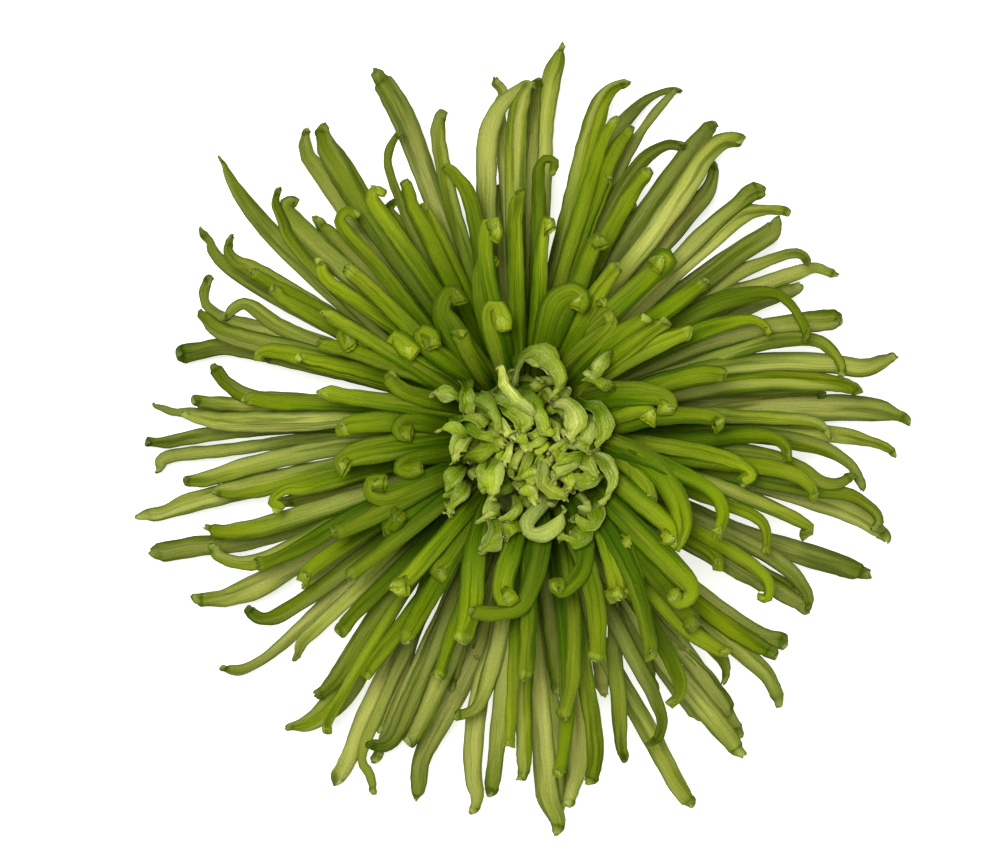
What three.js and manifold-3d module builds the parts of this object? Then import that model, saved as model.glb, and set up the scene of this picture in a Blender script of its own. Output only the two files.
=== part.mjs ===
// Spider chrysanthemum: one cut flower head, lying face up on its lowest florets with a short
// stub of stem under it. Millimetres and degrees, +Z up, the surface it lies on at z = 0.
//
// The long ray florets stand in whorls round a domed receptacle. Each is a flattened tube that
// arches out from its root, swings clockwise towards the tip and ends in a small curl.

import * as THREE from 'three';
import { mergeVertices } from 'three/addons/utils/BufferGeometryUtils.js';
import Module from 'manifold-3d';

const wasm = await Module();
wasm.setup();

const { degToRad, lerp } = THREE.MathUtils;
const up = new THREE.Vector3(0, 0, 1);

// Heights along the flower's axis
const stemFoot = 0.5; // the cut end hangs just clear of the surface
const stemTop = 6.2;
const cupFoot = 6.5;
const cupTop = 14.2;
const receptacleFoot = 14.5;
const receptacleTop = 27;
const crownFoot = 27.3;

const stem = { radius: 2.9, topRadius: 3.9, ribs: 8, ribDepth: 0.05, steps: 3 };
const cup = { footRadius: 4.4, bellyRadius: 9.4, rimRadius: 11 };
const receptacle = { footRadius: 11.5, bellyRadius: 13, shoulderRadius: 12.4, topRadius: 9.6 };
const crown = { radius: 9.2, height: 3.2 };
const latheSides = 16;

const goldenAngle = 137.508; // between one floret and the next along the spiral
const floretThickness = 1.3;
const floretRootRadius = 9; // the roots stand this far from the axis, inside the receptacle
const floretRootShare = 0.4; // of a floret's width, at its root
const sectionSides = 3; // a floret's section is a low triangle
const sectionWidth = Math.sqrt(3); // of that triangle while its corners are at a radius of 1
const sectionDepth = 1.5;
const widestAt = 0.7; // share of a floret's arch where it is widest
const floretStations = [0, 0.3, 0.56, 0.8, 1, 1.5, 2]; // its sections: 1 ends the arch, 2 the curl

// How a floret ends: the radius, the turn and the lean of its curl, where a lean of 0 turns the
// tip up over the floret and 90 turns it clockwise, and how wide its end is
const tips = {
  knob: { radius: 1.5, turn: 170, lean: 10, share: 0.55 },
  hook: { radius: 2.4, turn: 125, lean: 62, share: 0.55 },
  back: { radius: 2.4, turn: 120, lean: -60, share: 0.55 },
  spoon: { radius: 3.4, turn: 55, lean: 0, share: 0.8 },
  tail: { radius: 7, turn: 38, lean: 55, share: 0.25 },
};

// The long florets that make the flower's outline, from the lowest whorl up. Each row holds the
// tip's azimuth and reach, the clockwise sweep of the arch, the width and how the floret ends.
const outlineWhorls = [
  {
    rootHeight: 16.8, tipHeight: [-0.2, 3], arch: 5,
    florets: [
      [3, 64.5, 6, 4.6, 'tail'], [12, 62.5, 1, 5, 'spoon'], [28, 58.5, 4, 3, 'hook'],
      [41, 57.5, 4, 3, 'hook'], [54, 61, 3, 4.4, 'hook'], [66, 63.5, 9, 3.4, 'hook'],
      [74, 61.5, 2, 3.8, 'hook'], [84, 67.5, 3, 4, 'tail'], [111, 65.5, -1, 4.2, 'knob'],
      [126, 62.5, 3, 3.4, 'knob'], [138, 69, 5, 3, 'tail'], [148, 63.5, 4, 3.6, 'hook'],
      [166, 58.5, -5, 2.6, 'back'], [175, 61.5, 2, 3, 'tail'], [184, 61, -3, 3, 'back'],
      [192, 65.5, 0, 3.8, 'knob'], [198, 64.5, 2, 3.6, 'spoon'], [207, 61, 2, 4.2, 'spoon'],
      [218, 63, 1, 2.8, 'hook'], [231, 61.5, 3, 4.6, 'hook'], [241, 64.5, -1, 3.4, 'knob'],
      [252, 62.5, 0, 3.8, 'knob'], [262, 62.5, -3, 3.6, 'knob'], [274, 65.5, -2, 4.6, 'knob'],
      [293, 66, 0, 3.6, 'knob'], [303, 63.5, 0, 4.6, 'knob'], [314, 61.5, 3, 3, 'hook'],
      [338, 61, 0, 4.6, 'spoon'], [345, 62, 3, 4.6, 'hook'], [358, 61.5, 0, 3.2, 'tail'],
    ],
  },
  {
    rootHeight: 18.4, tipHeight: [6, 11], arch: 5.5,
    florets: [
      [8, 55, 4, 4, 'knob'], [21, 55.5, 3, 4.4, 'knob'], [33, 55.5, 3, 3.4, 'hook'],
      [46, 56.5, 0, 4.4, 'back'], [60, 60, 0, 4.2, 'knob'], [67, 60, 3, 2.2, 'tail'],
      [88, 58.5, 2, 4, 'knob'], [95, 57, 4, 3.6, 'back'], [105, 54.5, 5, 3, 'knob'],
      [124, 61.5, 0, 4.6, 'knob'], [135, 58, 4, 3.6, 'hook'], [147, 59, 0, 4.2, 'spoon'],
      [154, 59, 4, 2.6, 'hook'], [173, 54, 0, 3, 'knob'], [180, 62, -1, 3, 'knob'],
      [188, 56, 0, 4, 'knob'], [200, 55.5, 3, 2.4, 'hook'], [212, 54, 1, 3.4, 'hook'],
      [231, 55, 0, 4, 'knob'], [236, 59, 2, 2.4, 'knob'], [247, 64, -1, 2.2, 'back'],
      [265, 58, -1, 2.6, 'knob'], [277, 61, 0, 3, 'knob'], [282, 58.5, 4, 3.2, 'knob'],
      [287, 55.5, 2, 2.8, 'knob'], [293, 54.5, 5, 2.8, 'hook'], [307, 56.5, 1, 2.2, 'tail'],
      [318, 54, 0, 3.4, 'spoon'], [329, 55, 4, 3, 'hook'], [352, 56.5, 3, 3, 'hook'],
    ],
  },
  {
    rootHeight: 20, tipHeight: [12, 18], arch: 6.5,
    florets: [
      [11, 54, 6, 2.8, 'hook'], [25, 50.5, 7, 2.8, 'hook'], [38, 53.5, 3, 3.6, 'knob'],
      [46, 50, 3, 4, 'knob'], [55, 55.5, -3, 3.4, 'back'], [62, 55.5, 5, 3.4, 'hook'],
      [71, 53, 3, 3.4, 'knob'], [76, 54, 3, 3.4, 'knob'], [90, 59, 10, 4.2, 'hook'],
      [106, 46, -2, 3.4, 'back'], [114, 55, 3, 2.2, 'hook'], [120, 48, 3, 3.4, 'hook'],
      [128, 47, 4, 3.6, 'hook'], [134, 55, 4, 4.8, 'hook'], [157, 54, -4, 3.6, 'back'],
      [169, 52, 3, 2.8, 'hook'], [173, 46, 0, 4, 'knob'], [196, 55.5, 2, 4, 'knob'],
      [224, 52.5, -1, 2.4, 'knob'], [227, 43, 0, 4, 'knob'], [244, 57.5, 6, 3.4, 'hook'],
      [256, 48, 3, 3.2, 'hook'], [267, 51, 0, 3, 'knob'], [271, 55.5, 0, 2.8, 'knob'],
      [279, 58.5, 1, 3.2, 'knob'], [298, 51, 3, 2.4, 'hook'], [310, 52, 1, 2.4, 'knob'],
      [313, 45, 3, 3.6, 'knob'], [322, 54, -1, 3.8, 'knob'], [328, 54, 0, 3.4, 'knob'],
      [342, 50, 4, 3.4, 'hook'],
    ],
  },
];

// The upper whorls run on along one spiral, from the outside in
const spiralWhorls = [
  { count: 24, rootHeight: 21.4, reach: [43, 51], tipHeight: [19, 25], arch: 6.5, width: 4 },
  { count: 22, rootHeight: 22.7, reach: [34, 44], tipHeight: [25, 31], arch: 5.5, width: 3.9 },
  { count: 12, rootHeight: 23.5, reach: [26, 33], tipHeight: [31, 35], arch: 3, width: 3.8 },
  { count: 8, rootHeight: 23.5, reach: [17, 22], tipHeight: [34, 37], arch: 0, width: 3.6 },
];
const spiralTips = ['knob', 'hook', 'knob', 'hook', 'knob', 'back'];

// Where the upper florets part and show what lies below: middle and half of each parting
const partings = [[84, 3], [166, 5], [325, 4]];

// Florets that stand out over the middle of the flower: rows as in the outline whorls
const hookedWhorl = {
  rootHeight: 24, tipHeight: [32, 38], arch: 1.5,
  florets: [
    [73, 24, 22, 4.6, 'hook'], [116, 27, 6, 4.2, 'hook'], [101, 28, 4, 3.8, 'knob'],
    [51, 37, 12, 4, 'hook'], [47, 18, 10, 4, 'hook'], [349, 36, 16, 4.2, 'hook'],
    [323, 32, 22, 4, 'hook'], [280, 25, 18, 4, 'hook'], [254, 30, 24, 4.2, 'hook'],
    [230, 31, 2, 3.8, 'back'], [199, 25, 4, 4, 'hook'], [150, 33, 0, 4, 'hook'],
  ],
};

// Short pale florets that curve in over the eye of the flower, on the same spiral
const crownFlorets = {
  count: 40, thickness: 1.3,
  rootRadius: [0.8, 7.4], reach: [2.6, 12], width: [1.7, 3.1], height: [3.2, 5.4],
};

// Bracts of the cup under the florets, in rows that overlap like tiles
const bractWidth = 4.4;
const bractThickness = 0.9;
const bractRows = [
  { count: 11, rootRadius: 3.6, rootHeight: 7.6, reach: 11.6, tipHeight: 10.4, arch: -1.8 },
  { count: 13, rootRadius: 7, rootHeight: 9.4, reach: 13.2, tipHeight: 13.2, arch: -1.4 },
];

// Share between 0 and 1 for a whole number, always the same one for the same number
function draw(number) {
  const value = Math.sin(number * 12.9898) * 43758.5453;
  return value - Math.floor(value);
}

function solidOf(geometry) {
  geometry.deleteAttribute('normal');
  geometry.deleteAttribute('uv');
  const closed = mergeVertices(geometry);
  return new wasm.Manifold(new wasm.Mesh({
    numProp: 3,
    vertProperties: closed.attributes.position.array,
    triVerts: new Uint32Array(closed.index.array),
  }));
}

function meshOf(name, solid, colour, roughness) {
  const { vertProperties, triVerts } = solid.getMesh();
  const geometry = new THREE.BufferGeometry();
  geometry.setAttribute('position', new THREE.BufferAttribute(vertProperties, 3));
  geometry.setIndex(new THREE.BufferAttribute(triVerts, 1));
  geometry.computeVertexNormals();
  const material = new THREE.MeshStandardMaterial({ color: colour, roughness, metalness: 0 });
  const mesh = new THREE.Mesh(geometry, material);
  mesh.name = name;
  return mesh;
}

function latheSolid(profile) {
  const points = profile.map(([radius, height]) => new THREE.Vector2(radius, height));
  const geometry = new THREE.LatheGeometry(points, latheSides);
  geometry.rotateX(Math.PI / 2);
  return solidOf(geometry);
}

// How far a curl carries the end of a floret beyond its arch
function curlReach(tip) {
  return tip.radius * Math.sin(degToRad(Math.min(tip.turn, 90)));
}

// How far a curl carries it clockwise
function curlShift(tip) {
  return tip.radius * (1 - Math.cos(degToRad(tip.turn))) * Math.sin(degToRad(tip.lean));
}

// A point on the arch of a blade, with s from 0 at its root to 1 where its curl begins
function archPoint(blade, s) {
  const swing = curlShift(blade.tip) / blade.reach + degToRad(blade.sweep) * (1 - s * s);
  const azimuth = degToRad(blade.azimuth) + swing;
  const radius = lerp(blade.rootRadius, blade.reach - curlReach(blade.tip), s);
  const height = lerp(blade.rootHeight, blade.tipHeight, s) + 4 * blade.arch * s * (1 - s);
  return new THREE.Vector3(radius * Math.cos(azimuth), radius * Math.sin(azimuth), height);
}

// Centre and axes of a blade's section: along the arch for u up to 1, round the curl up to 2
function sectionAt(blade, u) {
  const s = Math.min(u, 1);
  const step = 0.001;
  const centre = archPoint(blade, s);
  const along = archPoint(blade, s + step).sub(archPoint(blade, s - step)).normalize();
  const side = along.clone().cross(up).normalize(); // clockwise, seen from above
  const normal = side.clone().cross(along);
  if (u > 1) {
    const { radius, turn, lean } = blade.tip;
    const angle = degToRad(turn) * (u - 1);
    const inward = normal.clone().multiplyScalar(Math.cos(degToRad(lean)));
    inward.addScaledVector(side, Math.sin(degToRad(lean)));
    centre.addScaledVector(along, radius * Math.sin(angle));
    centre.addScaledVector(inward, radius * (1 - Math.cos(angle)));
    const hinge = along.clone().cross(inward);
    side.applyAxisAngle(hinge, angle);
    normal.applyAxisAngle(hinge, angle);
  }
  return { centre, side, normal };
}

function widthAt(blade, u) {
  if (u < widestAt) {
    return blade.width * lerp(blade.rootShare, 1, Math.sin((Math.PI / 2) * (u / widestAt)));
  }
  return blade.width * lerp(1, blade.tip.share, (u - widestAt) / (2 - widestAt));
}

// A three-sided tube with its ridge on top, bent along the blade and drawn to its width
function bladeSolid(blade, stations) {
  const rows = stations.length - 1;
  const geometry = new THREE.CylinderGeometry(1, 1, rows, sectionSides, rows);
  const places = stations.map((u) => ({ ...sectionAt(blade, u), width: widthAt(blade, u) }));
  const { position } = geometry.attributes;
  const vertex = new THREE.Vector3();
  for (let i = 0; i < position.count; i += 1) {
    const place = places[Math.round(position.getY(i) + rows / 2)];
    vertex.copy(place.centre);
    vertex.addScaledVector(place.side, (position.getX(i) * place.width) / sectionWidth);
    vertex.addScaledVector(place.normal, (position.getZ(i) * blade.thickness) / sectionDepth);
    position.setXYZ(i, vertex.x, vertex.y, vertex.z);
  }
  return solidOf(geometry);
}

function stemSolid() {
  const height = stemTop - stemFoot;
  const sides = 2 * stem.ribs;
  const geometry = new THREE.CylinderGeometry(
    stem.topRadius, stem.radius, height, sides, stem.steps);
  const { position } = geometry.attributes;
  for (let i = 0; i < position.count; i += 1) {
    const turn = Math.atan2(position.getZ(i), position.getX(i));
    const swell = 1 + stem.ribDepth * Math.cos(stem.ribs * turn);
    position.setX(i, position.getX(i) * swell);
    position.setZ(i, position.getZ(i) * swell);
  }
  geometry.rotateX(Math.PI / 2);
  geometry.translate(0, 0, stemFoot + height / 2);
  return solidOf(geometry);
}

function involucreSolid() {
  const body = latheSolid([
    [0, cupFoot], [cup.footRadius, cupFoot], [cup.bellyRadius, cupFoot + 2.8],
    [cup.rimRadius, cupTop - 2], [cup.rimRadius - 0.6, cupTop], [0, cupTop],
  ]);
  const bracts = bractRows.flatMap((row, r) => Array.from({ length: row.count }, (_, i) => (
    bladeSolid({
      ...row,
      azimuth: (360 * (i + r / 2)) / row.count,
      sweep: 0,
      width: bractWidth,
      thickness: bractThickness,
      rootShare: 0.5,
      tip: { radius: 0.9, turn: 40, lean: 0, share: 0.15 },
    }, [0, 0.6, 1.6])
  )));
  return wasm.Manifold.union([body, ...bracts]);
}

// A listed floret of a whorl; the draw sets how high its tip comes to lie
function listedFloret(whorl, row, number) {
  const [azimuth, reach, sweep, width, tip] = row;
  return {
    azimuth,
    reach,
    sweep,
    width,
    rootRadius: floretRootRadius,
    rootHeight: whorl.rootHeight,
    tipHeight: lerp(...whorl.tipHeight, draw(number)),
    arch: whorl.arch,
    thickness: floretThickness,
    rootShare: floretRootShare,
    tip: tips[tip],
  };
}

// A floret of a spiral whorl; those to the right and below swing round the most
function spiralFloret(whorl, number) {
  const free = (number * goldenAngle) % 360;
  const parting = partings.find(([middle, half]) => Math.abs(free - middle) < half);
  const azimuth = parting ? parting[0] + Math.sign(free - parting[0]) * parting[1] : free;
  const swing = 0.5 + 0.5 * Math.cos(degToRad(azimuth + 25));
  const reach = lerp(...whorl.reach, draw(number));
  const sweep = lerp(1, 9, swing) + lerp(-2, 5, draw(number + 0.5));
  const tip = spiralTips[Math.floor(draw(number + 0.25) * spiralTips.length)];
  return listedFloret(whorl, [azimuth, reach, sweep, whorl.width, tip], number + 0.75);
}

function rayFloretSolid() {
  const body = latheSolid([
    [0, receptacleFoot], [receptacle.footRadius, receptacleFoot],
    [receptacle.bellyRadius, receptacleFoot + 3.5],
    [receptacle.shoulderRadius, receptacleTop - 3],
    [receptacle.topRadius, receptacleTop], [0, receptacleTop],
  ]);
  const listed = [...outlineWhorls, hookedWhorl].flatMap((whorl) => (
    whorl.florets.map((row) => listedFloret(whorl, row, row[0] + row[1]))
  ));
  let number = 0;
  const spiral = spiralWhorls.flatMap((whorl) => Array.from({ length: whorl.count }, () => {
    number += 1;
    return spiralFloret(whorl, number);
  }));
  const florets = [...listed, ...spiral].map((floret) => bladeSolid(floret, floretStations));
  const ground = new THREE.BoxGeometry(200, 200, 20).translate(0, 0, -10);
  return wasm.Manifold.union([body, ...florets]).subtract(solidOf(ground));
}

function crownSolid() {
  const body = latheSolid([
    [0, crownFoot], [crown.radius, crownFoot], [crown.radius - 0.8, crownFoot + 1.4],
    [crown.radius * 0.55, crownFoot + crown.height - 0.6], [0, crownFoot + crown.height],
  ]);
  const florets = Array.from({ length: crownFlorets.count }, (_, i) => {
    const share = Math.sqrt((i + 0.5) / crownFlorets.count); // 0 at the eye, 1 at the rim
    const rootRadius = lerp(...crownFlorets.rootRadius, share);
    const dome = crown.height * (1 - share * share);
    const height = lerp(...crownFlorets.height, share);
    return bladeSolid({
      azimuth: i * goldenAngle,
      sweep: 8,
      rootRadius,
      rootHeight: crownFoot + 0.3 + dome * 0.6,
      reach: lerp(...crownFlorets.reach, share),
      tipHeight: crownFoot + dome + height,
      arch: 0.6,
      width: lerp(...crownFlorets.width, share),
      thickness: crownFlorets.thickness,
      rootShare: 0.7,
      tip: { radius: 1.5, turn: 130, lean: 10, share: 0.6 },
    }, [0, 0.5, 1, 1.5, 2]);
  });
  return wasm.Manifold.union([body, ...florets]);
}

const flower = new THREE.Group();
flower.add(meshOf('stem', stemSolid(), 0x6d8a3a, 0.6));
flower.add(meshOf('involucre', involucreSolid(), 0x5f7d2e, 0.65));
flower.add(meshOf('ray_florets', rayFloretSolid(), 0x7d9628, 0.45));
flower.add(meshOf('centre_florets', crownSolid(), 0xb4c46c, 0.5));

// The origin lies on the surface, under the middle of the flower's box
const middle = new THREE.Box3().setFromObject(flower, true).getCenter(new THREE.Vector3());
flower.position.set(-middle.x, -middle.y, 0);

export default flower;
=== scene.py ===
import math

import bpy
import numpy as np
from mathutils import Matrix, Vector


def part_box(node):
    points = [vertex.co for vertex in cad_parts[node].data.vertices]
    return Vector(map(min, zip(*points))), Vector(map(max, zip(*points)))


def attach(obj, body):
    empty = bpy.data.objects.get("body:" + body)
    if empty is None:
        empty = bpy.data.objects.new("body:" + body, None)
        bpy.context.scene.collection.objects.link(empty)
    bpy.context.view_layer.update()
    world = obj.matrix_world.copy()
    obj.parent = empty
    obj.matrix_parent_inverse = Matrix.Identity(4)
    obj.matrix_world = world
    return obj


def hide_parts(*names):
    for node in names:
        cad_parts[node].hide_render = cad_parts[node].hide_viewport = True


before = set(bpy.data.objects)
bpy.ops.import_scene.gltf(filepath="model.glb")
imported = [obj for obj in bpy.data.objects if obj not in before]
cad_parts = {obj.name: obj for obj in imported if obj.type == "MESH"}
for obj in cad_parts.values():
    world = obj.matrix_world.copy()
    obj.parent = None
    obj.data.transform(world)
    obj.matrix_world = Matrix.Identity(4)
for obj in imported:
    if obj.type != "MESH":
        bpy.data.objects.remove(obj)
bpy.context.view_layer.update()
print("frame loaded:", sorted(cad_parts))

# Lengths below are in millimetres from the flower's own axis, with the surface it lies on at height 0
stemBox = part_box("stem")
flowerAxis = np.array([(stemBox[0][0] + stemBox[1][0]) / 2, (stemBox[0][1] + stemBox[1][1]) / 2, 0.0])
millimetre = 0.001


# Numbers and curves shared by all the florets
def draw(number):  # the same share from 0 to 1 each time for the same number
    value = math.sin(number * 12.9898) * 43758.5453
    return value - math.floor(value)


def lerp(a, b, share):
    return a + (b - a) * share


def smooth(low, high, value):
    share = np.clip((value - low) / (high - low), 0, 1)
    return share * share * (3 - 2 * share)


def unit(vectors):
    return vectors / np.linalg.norm(vectors, axis=-1, keepdims=True)


def turned(vectors, hinge, angle):
    cosine, sine = np.cos(angle)[..., None], np.sin(angle)[..., None]
    onHinge = hinge * np.sum(hinge * vectors, axis=-1, keepdims=True)
    return vectors * cosine + np.cross(hinge, vectors) * sine + onHinge * (1 - cosine)


def curveThrough(points, share):  # a smooth curve through a few points
    points = np.asarray(points, dtype=float)
    padded = np.concatenate([points[:1], points, points[-1:]])
    place = np.clip(share, 0, 1) * (len(points) - 1)
    start = np.minimum(place.astype(int), len(points) - 2)
    t = (place - start)[..., None]
    a, b, c, d = (padded[start + step] for step in range(4))
    bend = (2 * a - 5 * b + 4 * c - d) * t ** 2 + (3 * b - a - 3 * c + d) * t ** 3
    return b + 0.5 * ((c - a) * t + bend)


# The line of a curl, which tightens towards its end: share of it, way ahead, way inward and angle
def curlLine(tip, steps=60):
    share = np.linspace(0, 1, steps + 1)
    angle = math.radians(tip["turn"]) * share ** tip["tighten"]
    step = tip["radius"] * math.radians(tip["turn"]) / steps
    middle = (angle[1:] + angle[:-1]) / 2
    ahead = np.concatenate([[0], np.cumsum(np.cos(middle))]) * step
    inward = np.concatenate([[0], np.cumsum(np.sin(middle))]) * step
    return share, ahead, inward, angle


# Centre line and width of a floret that follows listed points, less the length that its curl takes up
def lineThrough(points, curled, steps=240, easing=14):
    fine = curveThrough(points, np.linspace(0, 1, steps))
    for _ in range(easing):
        fine[1:-1] = (fine[:-2] + 2 * fine[1:-1] + fine[2:]) / 4
    lengths = np.linalg.norm(np.diff(fine[:, :3], axis=0), axis=1)
    place = np.concatenate([[0], np.cumsum(lengths)]) / lengths.sum()
    usable = 1 - curled / lengths.sum()
    return lambda s: np.stack([np.interp(s * usable, place, fine[:, i]) for i in range(4)], axis=-1)


# A floret without listed points follows an arch, which sways a little to both sides
archForm = {
    "sway": 1.6,         # half waves along it
    "stiffRadius": 8,    # nearer the axis it sways by no larger an angle than here
    "drop": 0.6,         # how much of the curl's own fall is taken off the arch's
}


# Centre line of a floret's arch: s is 0 at its root and 1 where its curl begins
def archPoint(blade, s):
    if "line" in blade:
        return blade["line"](s)[..., :3]
    _, ahead, inward, _ = curlLine(blade["tip"])
    drop = blade["tipHeight"] - blade["rootHeight"] - 4 * blade["arch"]
    steep = drop / (blade["reach"] - blade["rootRadius"])  # how it slopes where the curl begins
    level = 1 / math.sqrt(1 + steep * steep)
    shift = inward[-1] * math.sin(math.radians(blade["tip"]["lean"]))
    swing = shift / blade["reach"] + math.radians(blade["sweep"]) * (1 - s * s)
    radius = lerp(blade["rootRadius"], blade["reach"] - ahead.max() * level, s)
    sway = np.sin(math.pi * s * archForm["sway"] + blade["number"])
    wave = blade["wave"] * sway * np.sin(math.pi * s)
    azimuth = math.radians(blade["azimuth"]) + swing + wave / np.maximum(radius, archForm["stiffRadius"])
    endHeight = blade["tipHeight"] - archForm["drop"] * ahead[-1] * steep * level
    height = lerp(blade["rootHeight"], endHeight, s) + 4 * blade["arch"] * s * (1 - s)
    shiftX, shiftY = blade.get("shift", (0, 0))
    return np.stack([radius * np.cos(azimuth) + shiftX, radius * np.sin(azimuth) + shiftY, height], axis=-1)


# Centre and axes of the section at u: the arch runs to u = 1 and the curl from there to u = 2
def sectionAt(blade, u, nudge=0.012):
    tip = blade["tip"]
    s = np.minimum(u, 1)
    centre = archPoint(blade, s)
    along = unit(archPoint(blade, s + nudge) - archPoint(blade, s - nudge))
    side = unit(np.cross(along, [0, 0, 1]))
    normal = np.cross(side, along)
    share, aheadLine, inwardLine, angleLine = curlLine(tip)
    ahead, across, angle = (np.interp(u - 1, share, line) for line in (aheadLine, inwardLine, angleLine))
    lean = math.radians(tip["lean"])
    inward = normal * math.cos(lean) + side * math.sin(lean)
    centre = centre + along * ahead[..., None] + inward * across[..., None]
    hinge = np.cross(along, inward)
    side, normal, along = (turned(v, hinge, angle) for v in (side, normal, along))
    roll = math.radians(blade["roll"]) * np.sin(math.pi / 2 * np.minimum(u, 1))
    return centre, turned(side, along, roll), turned(normal, along, roll)


# Between which places u each thing sets in, or goes where the first place is the higher one
floretSpans = {
    "channel": (0, 0.4),
    "cup": (0, 0.5),
    "crumple": (0.2, 1.4),
    "gnarl": (0.8, 1.3),
    "flare": (0.95, 1.45),
    "mouth": (1.2, 2),
    "lump": (1.3, 1.9),
    "ribs": (1.6, 1),
    "cupEnd": (2, 1.5),
}


def span(name, u):
    return smooth(*floretSpans[name], u)


def widthAt(blade, u):
    tip = blade["tip"]
    flare = 1 + tip["flare"] * span("flare", u)
    if "line" in blade:
        knuckles = np.sin(2 * math.pi * blade.get("knuckles", 1) * u + blade["number"])
        return blade["line"](np.minimum(u, 1))[..., 3] * flare * (1 + blade.get("knuckle", 0) * knuckles)
    rising = lerp(blade["rootShare"], 1, np.sin(math.pi / 2 * np.minimum(u / blade["widest"], 1)))
    return blade["width"] * rising * lerp(1, tip["share"], smooth(blade["widest"], tip["neck"], u)) * flare


# Small unevenness of a skin that isn't quite smooth
def gnarled(points, size, number):
    x, y, z = (points[..., axis] for axis in range(3))
    shifts = []
    for turn in (0, 2.1, 4.2):
        broad = np.sin(1.1 * x - 1.4 * y + 0.9 * z + number + turn)
        shifts.append(broad + 0.5 * np.sin(2.9 * y + 2.3 * z - 1.9 * x + 2 * number + turn))
    return points + size * np.stack(shifts, axis=-1)


# One floret: a flattened, ribbed tube whose curled end opens in a lobed mouth with a thin wall
floretMesh = {
    "archRows": 30,
    "curlRows": 18,
    "throatRows": 5,            # inside the mouth
    "columns": 24,
    "closerRows": 1.5,          # over 1 brings them together where it bends
    "closerColumns": 0.2,       # brings them together on the broad faces
    "wall": 0.18,
    "rimWall": 0.55,            # share of the wall at the rim
    "throat": 0.4,              # share of the curl that is hollow
    "flatness": (0.45, 0.28),   # its thickness is the first, and the second for each mm of its width
    "ribs": (1.6, 3.2),
    "ribDepth": 0.2,            # share of the thickness
    "channelWidth": 0.34,       # share of half the width
    "crumple": 0.07,
    "folds": ((2, 2.3, 0.5), (3, 4.1, 0.3), (5, 7.7, 0.2)),  # turns round it, waves along it, share
    "closingBend": 1.8,         # the higher, the later the end draws in
    "least": (0.12, 0.07),      # share of its size that is left where it draws in, and what the wall takes
    "gnarl": 0.05,
    "cupLevel": 0.4,            # a cup bends the edges up from here, and the middle down
    "throatStart": 0.6,         # share of the wall over which it counts as inside
    "throatShadeEnd": 0.35,          # how much of the painted shade inside the mouth is left deep inside
    "lowest": 0.02,             # over the surface it lies on
}


def mouthEdge(tip, around, number):  # how far back the rim is torn, round the mouth
    innerSide = np.cos(around - math.pi / 2 + math.radians(tip["lean"]))  # 1 on the inside of the curl
    tooth = 0.5 - 0.5 * np.cos(tip["teeth"] * around + number)
    tooth = tooth * lerp(0.5, 1, np.cos(around * 2 + number * 1.7) ** 2)
    return tip["slant"] * (0.5 + 0.5 * innerSide) + tip["toothDepth"] * tooth


def lumpsOf(tip, mesh, around, u, number):  # what the section's size is multiplied by
    lump = 1 + tip["lump"] * np.sin(3 * around + number * 2.3)[None, :] * span("lump", u)
    lump = lump * (1 - tip["closing"] * np.clip(u - 1, 0, 1) ** mesh["closingBend"])
    for turns, waves, size in mesh["folds"]:
        phase = turns * around + number * (turns + 0.7)
        lump = lump + mesh["crumple"] * size * np.sin(phase + math.pi * waves * u) * span("crumple", u)
    return lump


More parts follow.
